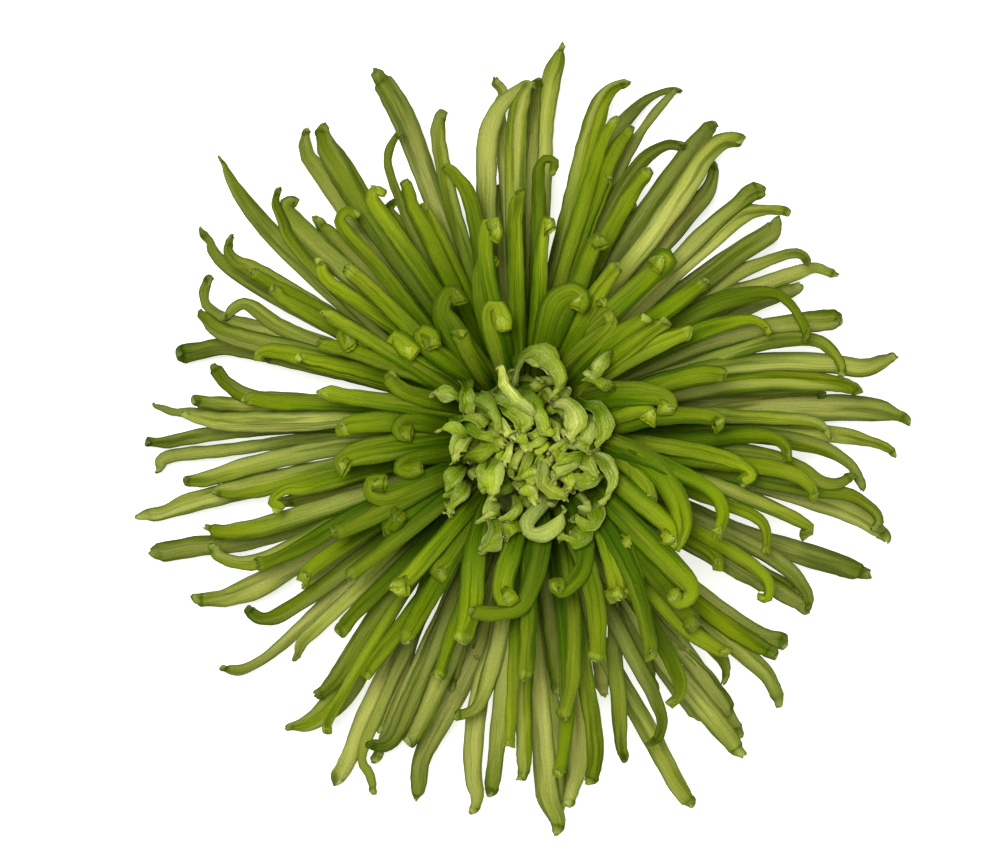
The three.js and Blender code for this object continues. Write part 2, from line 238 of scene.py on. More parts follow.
def floretPoints(blade, mesh):
    tip, number = blade["tip"], blade["number"]
    around = np.linspace(0, 2 * math.pi, mesh["columns"], endpoint=False)
    around = around + mesh["closerColumns"] * np.sin(2 * around)
    across, facing = np.cos(around)[None, :], np.sin(around)[None, :]
    # rows over the arch, round the curl and back down inside the mouth
    archRows = 1 - (1 - np.linspace(0, 1, mesh["archRows"], endpoint=False)) ** mesh["closerRows"]
    outside = np.concatenate([archRows, 1 + np.linspace(0, 1, mesh["curlRows"])])
    down = np.linspace(0, 1, mesh["throatRows"])
    rows = np.concatenate([outside, 2 - mesh["throat"] * down])
    depth = np.concatenate([np.zeros(len(outside)), down])
    inside = np.concatenate([np.zeros(len(outside)), np.ones(len(down))])
    inside[len(outside)] = mesh["rimWall"]
    u = rows[:, None] - np.maximum(rows[:, None] - 1, 0) ** 2 * mouthEdge(tip, around, number)[None, :]
    ones = np.ones_like(u)
    # the section's half width and half thickness, with its ribs and channel
    centre, side, normal = sectionAt(blade, u)
    wall = mesh["wall"] * inside[:, None] * ones
    width = widthAt(blade, u)
    halfWidth = width / 2
    thickness = blade["thickness"] * (mesh["flatness"][0] + mesh["flatness"][1] * width)
    halfThick = lerp(thickness, tip["mouth"], span("mouth", u)) / 2
    ribs = lerp(*mesh["ribs"], draw(number + 0.77))
    rib = 1 + mesh["ribDepth"] * np.cos(ribs * math.pi * across + number) * facing ** 2 * span("ribs", u)
    hollow = np.exp(-(across / mesh["channelWidth"]) ** 2) * np.maximum(facing, 0) * span("channel", u)
    rib = rib - blade["channel"] * hollow
    lump = lumpsOf(tip, mesh, around, u, number)
    least = mesh["least"][0] - mesh["least"][1] * inside[:, None]
    x = across * np.maximum(halfWidth * lump - wall, halfWidth * least)
    z = facing * rib * np.maximum(halfThick * lump - wall, halfThick * least)
    z = z + blade["cup"] * halfWidth * (across ** 2 - mesh["cupLevel"]) * span("cup", u) * span("cupEnd", u)
    size = mesh["gnarl"] * (1 + 2 * span("gnarl", u))[..., None]
    points = gnarled(centre + side * x[..., None] + normal * z[..., None], size, number)
    points[..., 2] += np.maximum(mesh["lowest"] - points[..., 2].min(axis=1), 0)[:, None]
    # what the materials read: the place on the floret, the grain in mm, and the tone, whose third part masks
    # the painted shade inside the mouth
    steps = np.linalg.norm(np.diff(centre.mean(axis=1), axis=0), axis=-1)
    length = np.concatenate([[0], np.cumsum(steps)])
    along = np.where(inside[:, None] > mesh["throatStart"], 2.0, u)
    place = np.stack([along, across * ones, facing * ones], axis=-1)
    grain = np.stack([x, length[:, None] * ones, number % 97 * ones], axis=-1)
    throat = inside[:, None] * lerp(1, mesh["throatShadeEnd"], depth)[:, None] * ones
    tone = np.stack([blade["tone"] * ones, blade["pale"] * ones, throat], axis=-1)
    return points, place, grain, tone


def tubeFaces(rows, columns, start=0):  # faces between the rows of points, and a cap at each end
    grid = start + np.arange(rows * columns).reshape(rows, columns)
    following = np.roll(grid, -1, axis=1)
    quads = np.stack([grid[:-1], following[:-1], following[1:], grid[1:]], axis=-1)
    return quads.reshape(-1, 4).tolist() + [grid[0][::-1].tolist(), grid[-1].tolist()]


def meshObject(name, points, faces, material, attributes):
    data = bpy.data.meshes.new(name)
    data.from_pydata((points * millimetre + flowerAxis).tolist(), [], faces)
    for label, values in attributes.items():
        layer = data.attributes.new(label, "FLOAT_VECTOR", "POINT")
        layer.data.foreach_set("vector", np.asarray(values, dtype=np.float32).ravel())
    data.polygons.foreach_set("use_smooth", np.ones(len(data.polygons), dtype=bool))
    data.materials.append(material)
    data.update()
    piece = bpy.data.objects.new(name, data)
    bpy.context.scene.collection.objects.link(piece)
    print(name, "has", sum(len(face) - 2 for face in faces), "triangles")
    return piece


# All the florets of one whorl, or bracts of one row, as one object
def bladesObject(name, blades, material, mesh):
    parts = [floretPoints(blade, mesh) for blade in blades]
    faces, start = [], 0
    for points, *_ in parts:
        faces += tubeFaces(points.shape[0], mesh["columns"], start)
        start += points.shape[0] * mesh["columns"]
    points, place, grain, tone = (np.concatenate([p[i].reshape(-1, 3) for p in parts]) for i in range(4))
    return meshObject(name, points, faces, material, {"place": place, "grain": grain, "tone": tone})


def settle(piece, node):
    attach(piece, "root")
    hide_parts(node)


# Helpers for the materials
def screenColour(red, green, blue):  # each from 0 to 255
    values = [channel / 255 for channel in (red, green, blue)]
    return [v / 12.92 if v < 0.04045 else ((v + 0.055) / 1.055) ** 2.4 for v in values] + [1.0]


def addNode(tree, kind, inputs=None, **settings):
    node = tree.nodes.new(kind)
    for name, value in settings.items():
        setattr(node, name, value)
    for key, value in (inputs or {}).items():
        if isinstance(value, bpy.types.NodeSocket):
            tree.links.new(value, node.inputs[key])
        else:
            node.inputs[key].default_value = value
    return node


def mathNode(tree, operation, first, second=0.0):
    return addNode(tree, "ShaderNodeMath", {0: first, 1: second}, operation=operation).outputs[0]


def mapped(tree, value, fromLow, fromHigh, toLow, toHigh):
    node = addNode(tree, "ShaderNodeMapRange", {0: value, 1: fromLow, 2: fromHigh, 3: toLow, 4: toHigh})
    return node.outputs[0]


def mixColours(tree, share, first, second, blend="MIX"):
    node = addNode(tree, "ShaderNodeMix", {0: share, 6: first, 7: second}, data_type="RGBA", blend_type=blend)
    return node.outputs[2]


def tinted(tree, colour, share, tint):
    return mixColours(tree, share, colour, screenColour(*tint))


def brightened(tree, colour, brightness):
    grey = addNode(tree, "ShaderNodeCombineColor", {0: brightness, 1: brightness, 2: brightness}).outputs[0]
    return mixColours(tree, 1.0, colour, grey, "MULTIPLY")


def ramp(tree, value, stops):
    node = addNode(tree, "ShaderNodeValToRGB", {0: value})
    points = node.color_ramp.elements
    while len(points) < len(stops):
        points.new(0.5)
    for point, (position, colour) in zip(points, stops):
        point.position = position
        point.color = screenColour(*colour)
    return node.outputs[0]


def vectorOf(tree, attribute):
    source = addNode(tree, "ShaderNodeAttribute", attribute_name=attribute, attribute_type="GEOMETRY")
    return source.outputs["Vector"]


def separated(tree, vector):
    return addNode(tree, "ShaderNodeSeparateXYZ", {0: vector}).outputs


def stretched(tree, vector, scales):
    return addNode(tree, "ShaderNodeVectorMath", {0: vector, 1: scales}, operation="MULTIPLY").outputs[0]


def noise(tree, vector, scale, detail):
    node = addNode(tree, "ShaderNodeTexNoise", {"Vector": vector, "Scale": scale, "Detail": detail})
    return node.outputs["Fac"]


# Noise drawn out along a floret, from its own grain attribute
def streakNoise(tree, grain, acrossScale, alongScale, detail=3.0):
    return noise(tree, stretched(tree, grain, (acrossScale, alongScale, 7.3)), 1.0, detail)


def newMaterial(name):
    material = bpy.data.materials.new(name)
    material.use_nodes = True
    tree = material.node_tree
    tree.nodes.clear()
    shader = addNode(tree, "ShaderNodeBsdfPrincipled")
    output = addNode(tree, "ShaderNodeOutputMaterial")
    tree.links.new(shader.outputs[0], output.inputs[0])
    return material, tree, shader


def feed(tree, shader, socket, value):
    tree.links.new(value, shader.inputs[socket])


def addBump(tree, shader, height, strength, distance):
    bump = addNode(tree, "ShaderNodeBump", {"Strength": strength, "Distance": distance, "Height": height})
    feed(tree, shader, "Normal", bump.outputs[0])


def letLightIn(shader, weight, depth):  # green light goes farthest into a leaf; the depth is in metres
    shader.inputs["IOR"].default_value = 1.3
    shader.inputs["Subsurface Weight"].default_value = weight
    shader.inputs["Subsurface Radius"].default_value = (0.6, 1.0, 0.25)
    shader.inputs["Subsurface Scale"].default_value = depth


# Skin of the long florets. A tint has its colour and its share, and the bump's depth is in metres.
floretLook = {
    # Painted shade and highlight along the ramps: darkest at the root, where the florets go deep into the
    # flower, and a dark dip at 0.62, a painted shadow where the curl begins; the pale end of the curl is
    # partly its own colour, partly painted highlight
    "upper": [  # from the root, over the arch to 0.5 and round the curl to 1
        (0.0, (26, 46, 0)), (0.14, (44, 70, 0)), (0.28, (94, 116, 0)), (0.42, (122, 136, 8)),
        (0.54, (92, 110, 4)), (0.62, (62, 86, 0)), (0.76, (112, 130, 34)), (1.0, (166, 180, 84))],
    "lower": [
        (0.0, (70, 96, 0)), (0.14, (132, 144, 30)), (0.28, (198, 198, 110)), (0.4, (170, 172, 88)),
        (0.54, (108, 120, 30)), (0.62, (68, 88, 10)), (0.76, (116, 130, 50)), (1.0, (172, 182, 102))],
    "deepStreak": ((40, 62, 0), 0.62),
    "paleVein": ((158, 166, 48), 0.2),
    # Pale bands: partly the skin's own paler streaks, partly painted highlight along its ridges
    "band": ((182, 184, 98), 0.44),
    "tan": ((164, 142, 66), 0.25),     # in patches, on the paler florets
    # Painted shade: the sides of each tube darker, with a dark painted outline shadow along its edges
    "side": ((36, 66, 0), 0.52),
    "paintedEdge": ((26, 50, 0), 0.4),
    # Painted shade inside the mouth
    "throat": (96, 118, 24),
    "shade": ((56, 92, 0), 0.3),       # on the darker florets
    "tones": (0.76, 1.18),             # brightness of the darkest and the brightest floret
    "lines": 24.0,                     # radians across half the width
    "lineDepth": 0.045,
    "lineBump": 0.16,
    "cellBump": 0.4,
    "bump": 0.00025,
    "roughness": (0.46, 0.68),
    "specular": 0.05,
    "subsurface": 0.1,
}

# Lengthwise streaks: scale of the noise across and along, its detail, and where the tint starts and is full
streakKinds = {
    "deepStreak": (0.9, 0.05, 3.0, 0.47, 0.62),
    "paleVein": (2.6, 0.035, 1.0, 0.48, 0.64),
    "band": (0.5, 0.03, 1.0, 0.48, 0.62),
}


def floretMaterial(name, look):
    material, tree, shader = newMaterial(name)
    grain = vectorOf(tree, "grain")
    place = separated(tree, vectorOf(tree, "place"))
    floretTone, pale, throat = separated(tree, vectorOf(tree, "tone"))
    # its colours along it, between an upper floret's and a lower one's
    drift = mapped(tree, streakNoise(tree, grain, 0.5, 0.07), 0, 1, -0.05, 0.05)
    along = mathNode(tree, "ADD", mathNode(tree, "MULTIPLY", place[0], 0.5), drift)
    colour = mixColours(tree, pale, ramp(tree, along, look["upper"]), ramp(tree, along, look["lower"]))
    for kind, (acrossScale, alongScale, detail, low, high) in streakKinds.items():
        tint, share = look[kind]
        streak = streakNoise(tree, grain, acrossScale, alongScale, detail)
        colour = tinted(tree, colour, mapped(tree, streak, low, high, 0, share), tint)
    tint, share = look["tan"]
    patch = mapped(tree, streakNoise(tree, grain, 0.35, 0.11, 2.0), 0.56, 0.72, 0, share)
    colour = tinted(tree, colour, mathNode(tree, "MULTIPLY", patch, pale), tint)
    # painted shade: deeper towards the sides of each tube, where less light falls, with a narrow painted
    # edge, a dark outline shadow on the long florets and a pale rim highlight on the crown
    across = mathNode(tree, "ABSOLUTE", place[1])
    for kind, narrowness in (("side", 2.5), ("paintedEdge", 8.0)):
        tint, share = look[kind]
        amount = mathNode(tree, "MULTIPLY", mathNode(tree, "POWER", across, narrowness), share)
        colour = tinted(tree, colour, amount, tint)
    # painted shade inside the mouth: a darker tint, strongest just inside the rim
    isInside = mathNode(tree, "GREATER_THAN", throat, 0.3)
    colour = tinted(tree, colour, mathNode(tree, "MULTIPLY", isInside, throat), look["throat"])
    tint, share = look["shade"]
    colour = tinted(tree, colour, mapped(tree, floretTone, 0, 1, share, 0), tint)
    # small cells, and fine lines that run together towards the tip
    cells = noise(tree, stretched(tree, grain, (3.0, 1.6, 5.0)), 1.6, 2.0)
    waver = mathNode(tree, "MULTIPLY", streakNoise(tree, grain, 0.35, 0.08, 1.0), 9.0)
    phase = mathNode(tree, "ADD", mathNode(tree, "MULTIPLY", place[1], look["lines"]), waver)
    line = mathNode(tree, "SINE", phase)
    depth = look["lineDepth"]
    lineTone = mapped(tree, line, -1, 1, 1 - depth, 1 + 0.6 * depth)
    fineTone = mathNode(tree, "MULTIPLY", mapped(tree, cells, 0.25, 0.75, 0.88, 1.12), lineTone)
    brightness = mathNode(tree, "MULTIPLY", mapped(tree, floretTone, 0, 1, *look["tones"]), fineTone)
    feed(tree, shader, "Base Color", brightened(tree, colour, brightness))
    feed(tree, shader, "Roughness", mapped(tree, cells, 0.3, 0.7, *look["roughness"]))
    cellHeight = mathNode(tree, "MULTIPLY", cells, look["cellBump"])
    height = mathNode(tree, "ADD", mathNode(tree, "MULTIPLY", line, look["lineBump"]), cellHeight)
    addBump(tree, shader, height, 0.7, look["bump"])
    shader.inputs["Specular IOR Level"].default_value = look["specular"]
    letLightIn(shader, look["subsurface"], 0.0012)
    return material


upperLook = dict(  # the upper florets are greener, with pale ends and painted shade at their roots
    floretLook,
    # Painted shade: darkest at the roots, deep in the flower; the pale ends are partly painted highlight
    upper=[
        (0.0, (22, 42, 0)), (0.14, (36, 64, 0)), (0.28, (70, 100, 0)), (0.42, (116, 138, 4)),
        (0.52, (124, 142, 12)), (0.62, (140, 158, 32)), (0.78, (160, 178, 58)), (1.0, (178, 194, 80))],
    lower=[
        (0.0, (40, 60, 0)), (0.14, (72, 94, 0)), (0.28, (112, 132, 4)), (0.42, (142, 154, 26)),
        (0.52, (142, 154, 28)), (0.62, (148, 162, 40)), (0.78, (162, 178, 60)), (1.0, (178, 194, 80))],
    deepStreak=((28, 56, 0), 0.62),
    paleVein=((138, 152, 18), 0.2),
    band=((150, 160, 40), 0.36),
    # Painted shade: the sides of each tube darker, with a dark painted outline shadow along its edges
    side=((34, 66, 0), 0.52),
    paintedEdge=((26, 50, 0), 0.3),
    throat=(158, 176, 76),
    specular=0.09,
    subsurface=0.14,
)
crownLook = dict(  # the crown is pale, moist and thin, with painted shade at its roots and sides, painted highlight at its tops and a painted pale rim highlight on its edges
    floretLook,
    # Painted shade: darkest at the roots, deep among the top florets; the palest stops at the tops are partly
    # painted highlight
    upper=[
        (0.0, (26, 54, 0)), (0.14, (56, 82, 0)), (0.28, (112, 136, 0)), (0.4, (160, 178, 36)),
        (0.6, (168, 184, 48)), (0.8, (190, 204, 82)), (1.0, (214, 224, 126))],
    lower=[
        (0.0, (26, 54, 0)), (0.14, (48, 76, 0)), (0.28, (94, 120, 0)), (0.42, (146, 166, 20)),
        (0.6, (154, 172, 32)), (0.8, (180, 196, 66)), (1.0, (206, 218, 108))],
    deepStreak=((62, 86, 0), 0.12),
    paleVein=((208, 214, 112), 0.1),
    # Pale bands: partly the skin's own paler streaks, partly painted highlight on the tops
    band=((216, 222, 126), 0.4),
    # Painted shade on the sides of each crown floret
    side=((50, 82, 0), 0.5),
    # Painted rim highlight: pale edges, as if lit through the thin rims
    paintedEdge=((190, 202, 92), 0.35),
    throat=(90, 112, 12),
    shade=((72, 104, 0), 0.62),
    tones=(0.76, 1.07),
    lines=22.0,
    lineDepth=0.02,
    lineBump=0.08,
    cellBump=0.9,
    bump=0.00032,
    roughness=(0.2, 0.36),
    specular=0.5,
    subsurface=0.3,
)
rayMaterial = floretMaterial("rayFloretSkin", floretLook)
upperMaterial = floretMaterial("upperFloretSkin", upperLook)
crownMaterial = floretMaterial("crownFloretSkin", crownLook)
print("floret materials made")


# How a long floret ends. A lean of 0 turns the end up over the floret, and 90 turns it clockwise; a turn
# below 0 turns it down.
tips = {
    "roll": {"radius": 1.1, "turn": 180, "tighten": 1.0, "lean": 8, "flare": 0.04, "mouth": 1.5,
             "teeth": 3, "toothDepth": 0.14, "slant": 0.1, "lump": 0.14, "closing": 0.9},
    "lip": {"radius": 1.5, "turn": 90, "tighten": 1.2, "lean": 30, "flare": 0.06, "mouth": 1.3,
            "teeth": 3, "toothDepth": 0.22, "slant": 0.14, "lump": 0.24, "closing": 0.84},
    "cap": {"radius": 2.4, "turn": -58, "tighten": 1.0, "lean": 0, "flare": -0.04, "mouth": 1.3,
            "teeth": 4, "toothDepth": 0.4, "slant": 0.14, "lump": 0.2, "closing": 0.8},
    "bulb": {"radius": 1.15, "turn": 160, "tighten": 1.0, "lean": 0, "flare": 0.1, "mouth": 1.5,
             "teeth": 3, "toothDepth": 0.2, "slant": 0.1, "lump": 0.16, "closing": 0.9},
    "spoon": {"radius": 3, "turn": 50, "tighten": 1.4, "lean": 0, "flare": -0.1, "mouth": 0.7,
              "teeth": 3, "toothDepth": 0.12, "slant": 0.12, "lump": 0.1, "closing": 0.6},
    "point": {"radius": 4, "turn": 24, "tighten": 1.4, "lean": 20, "flare": -0.3, "mouth": 0.6,
              "teeth": 2, "toothDepth": 0.2, "slant": 0.2, "lump": 0.1, "closing": 0.5},
}

# Where the camera stands over the flower, which the listed points are seen from
view = {"height": 900, "aimHeight": 8, "aside": (-3.75, 2.08), "frameWidth": 1005 / 6}


def fromView(across, up, height):  # what stands nearer the camera is seen farther from the middle of its view
    share = (view["height"] - height) / (view["height"] - view["aimHeight"])
    asideX, asideY = view["aside"]
    return asideX + (across - asideX) * share, asideY + (up - asideY) * share


# The long florets, from the lowest layer up. Each has its end, and its points from the middle outwards:
# across, up and width. Where the points turn back, the end is folded over the rest. A last number lifts
# the whole floret over its neighbours.
lowestFlorets = [
    ("lip", [(30, 3.6, 3), (40, 4.8, 3.9), (50, 4.9, 4.5), (58, 4.6, 4), (61.8, 3.7, 2.3), (64, 2.8, 1.1)]),
    ("lip", [(34, 1, 2.6), (44, 0.8, 3), (52, 0.4, 2.9), (57, -0.6, 2), (60.4, -1.8, 1.5),
             (61.8, -2.9, 1.3)]),
    ("lip", [(28, 21.6, 3), (38, 25, 3), (44, 27, 3), (48, 28.2, 2), (50.2, 27.7, 1.6), (52, 27.2, 1.5)]),
    ("point", [(20, 28.4, 3), (26, 35.6, 3.2), (30, 40.4, 3), (31.2, 43.2, 2.2), (31.6, 46, 1.2)]),
    ("lip", [(7.5, 33, 2.6), (12.6, 46, 2.9), (16, 52, 3), (19.4, 55.6, 2.3), (22.6, 57.4, 1.6),
             (25.6, 57.8, 1.4)]),
    ("point", [(2.2, 28, 3), (2.8, 42, 3.3), (3.2, 52, 3.3), (4.2, 59, 3.5), (5.5, 63, 2.5),
               (6.2, 65.8, 0.9)]),
    ("roll", [(0.4, 40, 3), (1.1, 52, 3), (1.9, 59, 1.8)]),
    ("lip", [(-3, 40, 2.2), (-4.2, 54, 2.1), (-3.6, 57.2, 2), (-5.2, 59.2, 1.3)]),
    ("spoon", [(-11.2, 29, 3), (-14.6, 38, 3.5), (-17.6, 46.4, 4.1), (-20.2, 53, 4.3), (-22.8, 57.8, 3.8),
               (-24.8, 60.9, 2.6)]),
    ("roll", [(-20, 24, 3), (-29, 37, 3.6), (-33.8, 43.6, 3.2), (-36.4, 47.2, 2.6), (-36.6, 50.9, 1.5)]),
    ("point", [(-26, 18.5, 2.8), (-35, 26.6, 3), (-41.4, 33, 3.4), (-46, 38.4, 3), (-48.8, 42.4, 2),
               (-50, 45, 1.1), (-51.2, 46.7, 0.6)]),
    ("lip", [(-30, 17, 2.8), (-40, 22.4, 3.1), (-48, 27.2, 3), (-51.6, 30.2, 2.3), (-52.8, 32.8, 1.7),
             (-54.5, 33.2, 1.5)]),
    ("roll", [(-34, 11.8, 2.8), (-44, 14, 2.9), (-50.6, 15, 2.8), (-54.4, 14.3, 3.1), (-57.3, 13.9, 3.1)]),
    ("point", [(-40, 3.4, 2.2), (-50, 3.6, 2.3), (-55.6, 4, 1.9), (-58.6, 4.2, 1.3), (-61, 5, 1.1),
               (-62.2, 5.8, 0.7)]),
    ("roll", [(-36, 1.6, 2.2), (-48, 0.9, 2.5), (-55, 0, 2.7), (-59.6, -0.9, 2.2), (-62.6, -0.8, 1.9)]),
    ("lip", [(-34, 0, 2), (-44, -1.4, 2.2), (-52, -2.4, 2.3), (-58, -3, 2.3), (-60.6, -3.9, 2),
             (-60.5, -5.8, 1.6)]),
    ("spoon", [(-30, -6, 3), (-40, -7.4, 3.4), (-49, -9.2, 3.9), (-56, -11, 3.9), (-60.4, -12.6, 2.8),
               (-64.6, -13.2, 2.2)]),
    ("spoon", [(-30, -12, 2.4), (-40, -15.8, 2.6), (-48, -17.6, 3.3), (-55, -18.2, 3.7), (-59.6, -19, 3.6),
               (-62.3, -19.2, 2.8)]),
    ("lip", [(-28, -15, 3), (-37, -20.6, 3.2), (-44, -24.4, 4.7), (-49.6, -26.6, 3.5), (-53, -27, 2.5),
             (-55, -27.2, 1.8)]),
    ("roll", [(-24, -19, 2.2), (-32, -26.4, 2.3), (-38, -32.4, 2.2), (-43, -36.6, 1.9), (-47, -38.8, 1.8),
              (-50, -38.7, 1.6)]),
    ("roll", [(-16.4, -26, 2.6), (-22.6, -38, 3), (-27, -47.4, 3.2), (-29, -52.6, 3.1), (-31.2, -57, 2.6)]),
    ("lip", [(-19, -34, 2), (-24.4, -46, 2.1), (-27.2, -53, 1.7), (-26, -56, 1.7), (-25, -59.4, 1.4)]),
    ("lip", [(-19, -40, 2), (-23.4, -50, 2), (-24.8, -54, 1.8)]),
    ("point", [(-6, -30, 3), (-9.6, -38.6, 3.8), (-14, -47, 4.1), (-17.2, -53.4, 3.3), (-17.8, -58, 2.7),
               (-18.2, -60.6, 1.7)]),
    ("lip", [(-5, -34, 3), (-7.4, -42, 3.2), (-8.5, -50, 3.5), (-8.6, -56.6, 3.1), (-8, -60, 2.4),
             (-8.7, -62.6, 1.7)]),
    ("lip", [(1.6, -34, 2.8), (2.6, -46, 3.4), (3.2, -54, 3.9), (3.8, -60, 3.9), (5.2, -63.2, 2.9),
             (5.6, -65.7, 1.9)]),
    ("spoon", [(3.6, -36, 2.4), (4.8, -48, 2.6), (5.4, -56, 2.6), (6, -62.4, 2.2)]),
    ("lip", [(7, -36, 3), (8.8, -46, 3.7), (8.8, -54, 3.8), (7.8, -58.6, 2.8), (7.2, -61.4, 1.6)]),
    ("roll", [(11.4, -32, 2.8), (16, -41, 3.2), (20, -48, 3.5), (23.4, -54.4, 3.3), (25.6, -58.4, 3),
              (27.6, -61, 2.2)]),
    ("spoon", [(17, -27, 2.8), (23, -36.6, 3.4), (28.4, -43.4, 3.9), (32.4, -48.2, 3.8), (34.9, -51.4, 2.9),
               (36, -53.2, 2.1)]),
    ("lip", [(19, -27.6, 2), (25.4, -34.6, 2.1), (30, -39, 1.8), (32.6, -42, 1.3), (34, -44.2, 1.4),
             (34.6, -45.8, 1.1)]),
    ("roll", [(20, -18.6, 3), (28, -25.6, 3.7), (34, -30.2, 3.9), (38.6, -33, 3.6), (42.9, -33.9, 2.8)]),
    ("spoon", [(26, -11.4, 2.8), (36, -16, 3.2), (45, -19, 3.9), (51, -20.8, 3.9), (55, -22.2, 3.2),
               (57.4, -22.9, 2.6)]),
    ("lip", [(32, -6.6, 3), (42, -8.6, 3.4), (50, -10.8, 4.3), (55, -12.8, 4.1), (58.2, -15, 3),
             (60.4, -16.7, 1.8)]),
    ("spoon", [(-3, 18, 3), (-3.6, 30, 3.2), (-4.2, 42, 2.4)]),
    ("spoon", [(-20, 21, 3), (-27, 28, 3.2), (-35, 36.4, 2.2)]),
    ("spoon", [(22, 5.4, 3), (36, 6.4, 3.2), (50, 7.2, 2.2)]),
    ("spoon", [(-24, -7, 3), (-33, -9.4, 3.2), (-41, -11, 2.4)]),
    ("spoon", [(-24, -15.6, 3), (-31, -21, 3), (-37, -25, 2)]),
    ("spoon", [(-12, -11.8, 3), (-18, -17.6, 3), (-25, -24.6, 2.6)]),
    ("spoon", [(-13, -17, 3), (-18, -30, 3.4), (-22, -42, 3.2), (-24.5, -49, 2)]),
    ("spoon", [(-5, -16, 3), (-6.6, -27, 3.2), (-7.8, -37, 2.4)]),
    ("spoon", [(-9, -24, 3), (-11, -35, 3), (-12.6, -42, 2)]),
    ("spoon", [(3, -18, 3), (4.4, -30, 3.2), (5.6, -43, 2.4)]),
    ("spoon", [(9, -22, 3), (12, -33, 3), (13, -43, 2.4)]),
    ("spoon", [(12, -20, 3), (17, -31, 3), (21.6, -42, 2.4)]),
    ("spoon", [(16, -20, 3), (24, -32, 3.2), (32, -43.6, 3), (36, -50, 2)]),
    ("spoon", [(18, -30, 3), (24, -40, 2.8), (29, -47, 2)]),
    ("spoon", [(28, -16, 3), (37, -21.4, 3), (46, -26, 2)]),
    ("spoon", [(9, 20, 3), (14, 30, 3), (18.4, 38.6, 2.2)]),
    ("spoon", [(18, 18, 3), (30, 27.6, 3), (42, 35.6, 2)]),
    ("spoon", [(24, 15.4, 3), (36, 21.4, 3), (46, 25, 2)]),
    ("spoon", [(20, 10.4, 3), (30, 13.8, 3), (38, 16, 2)]),
]
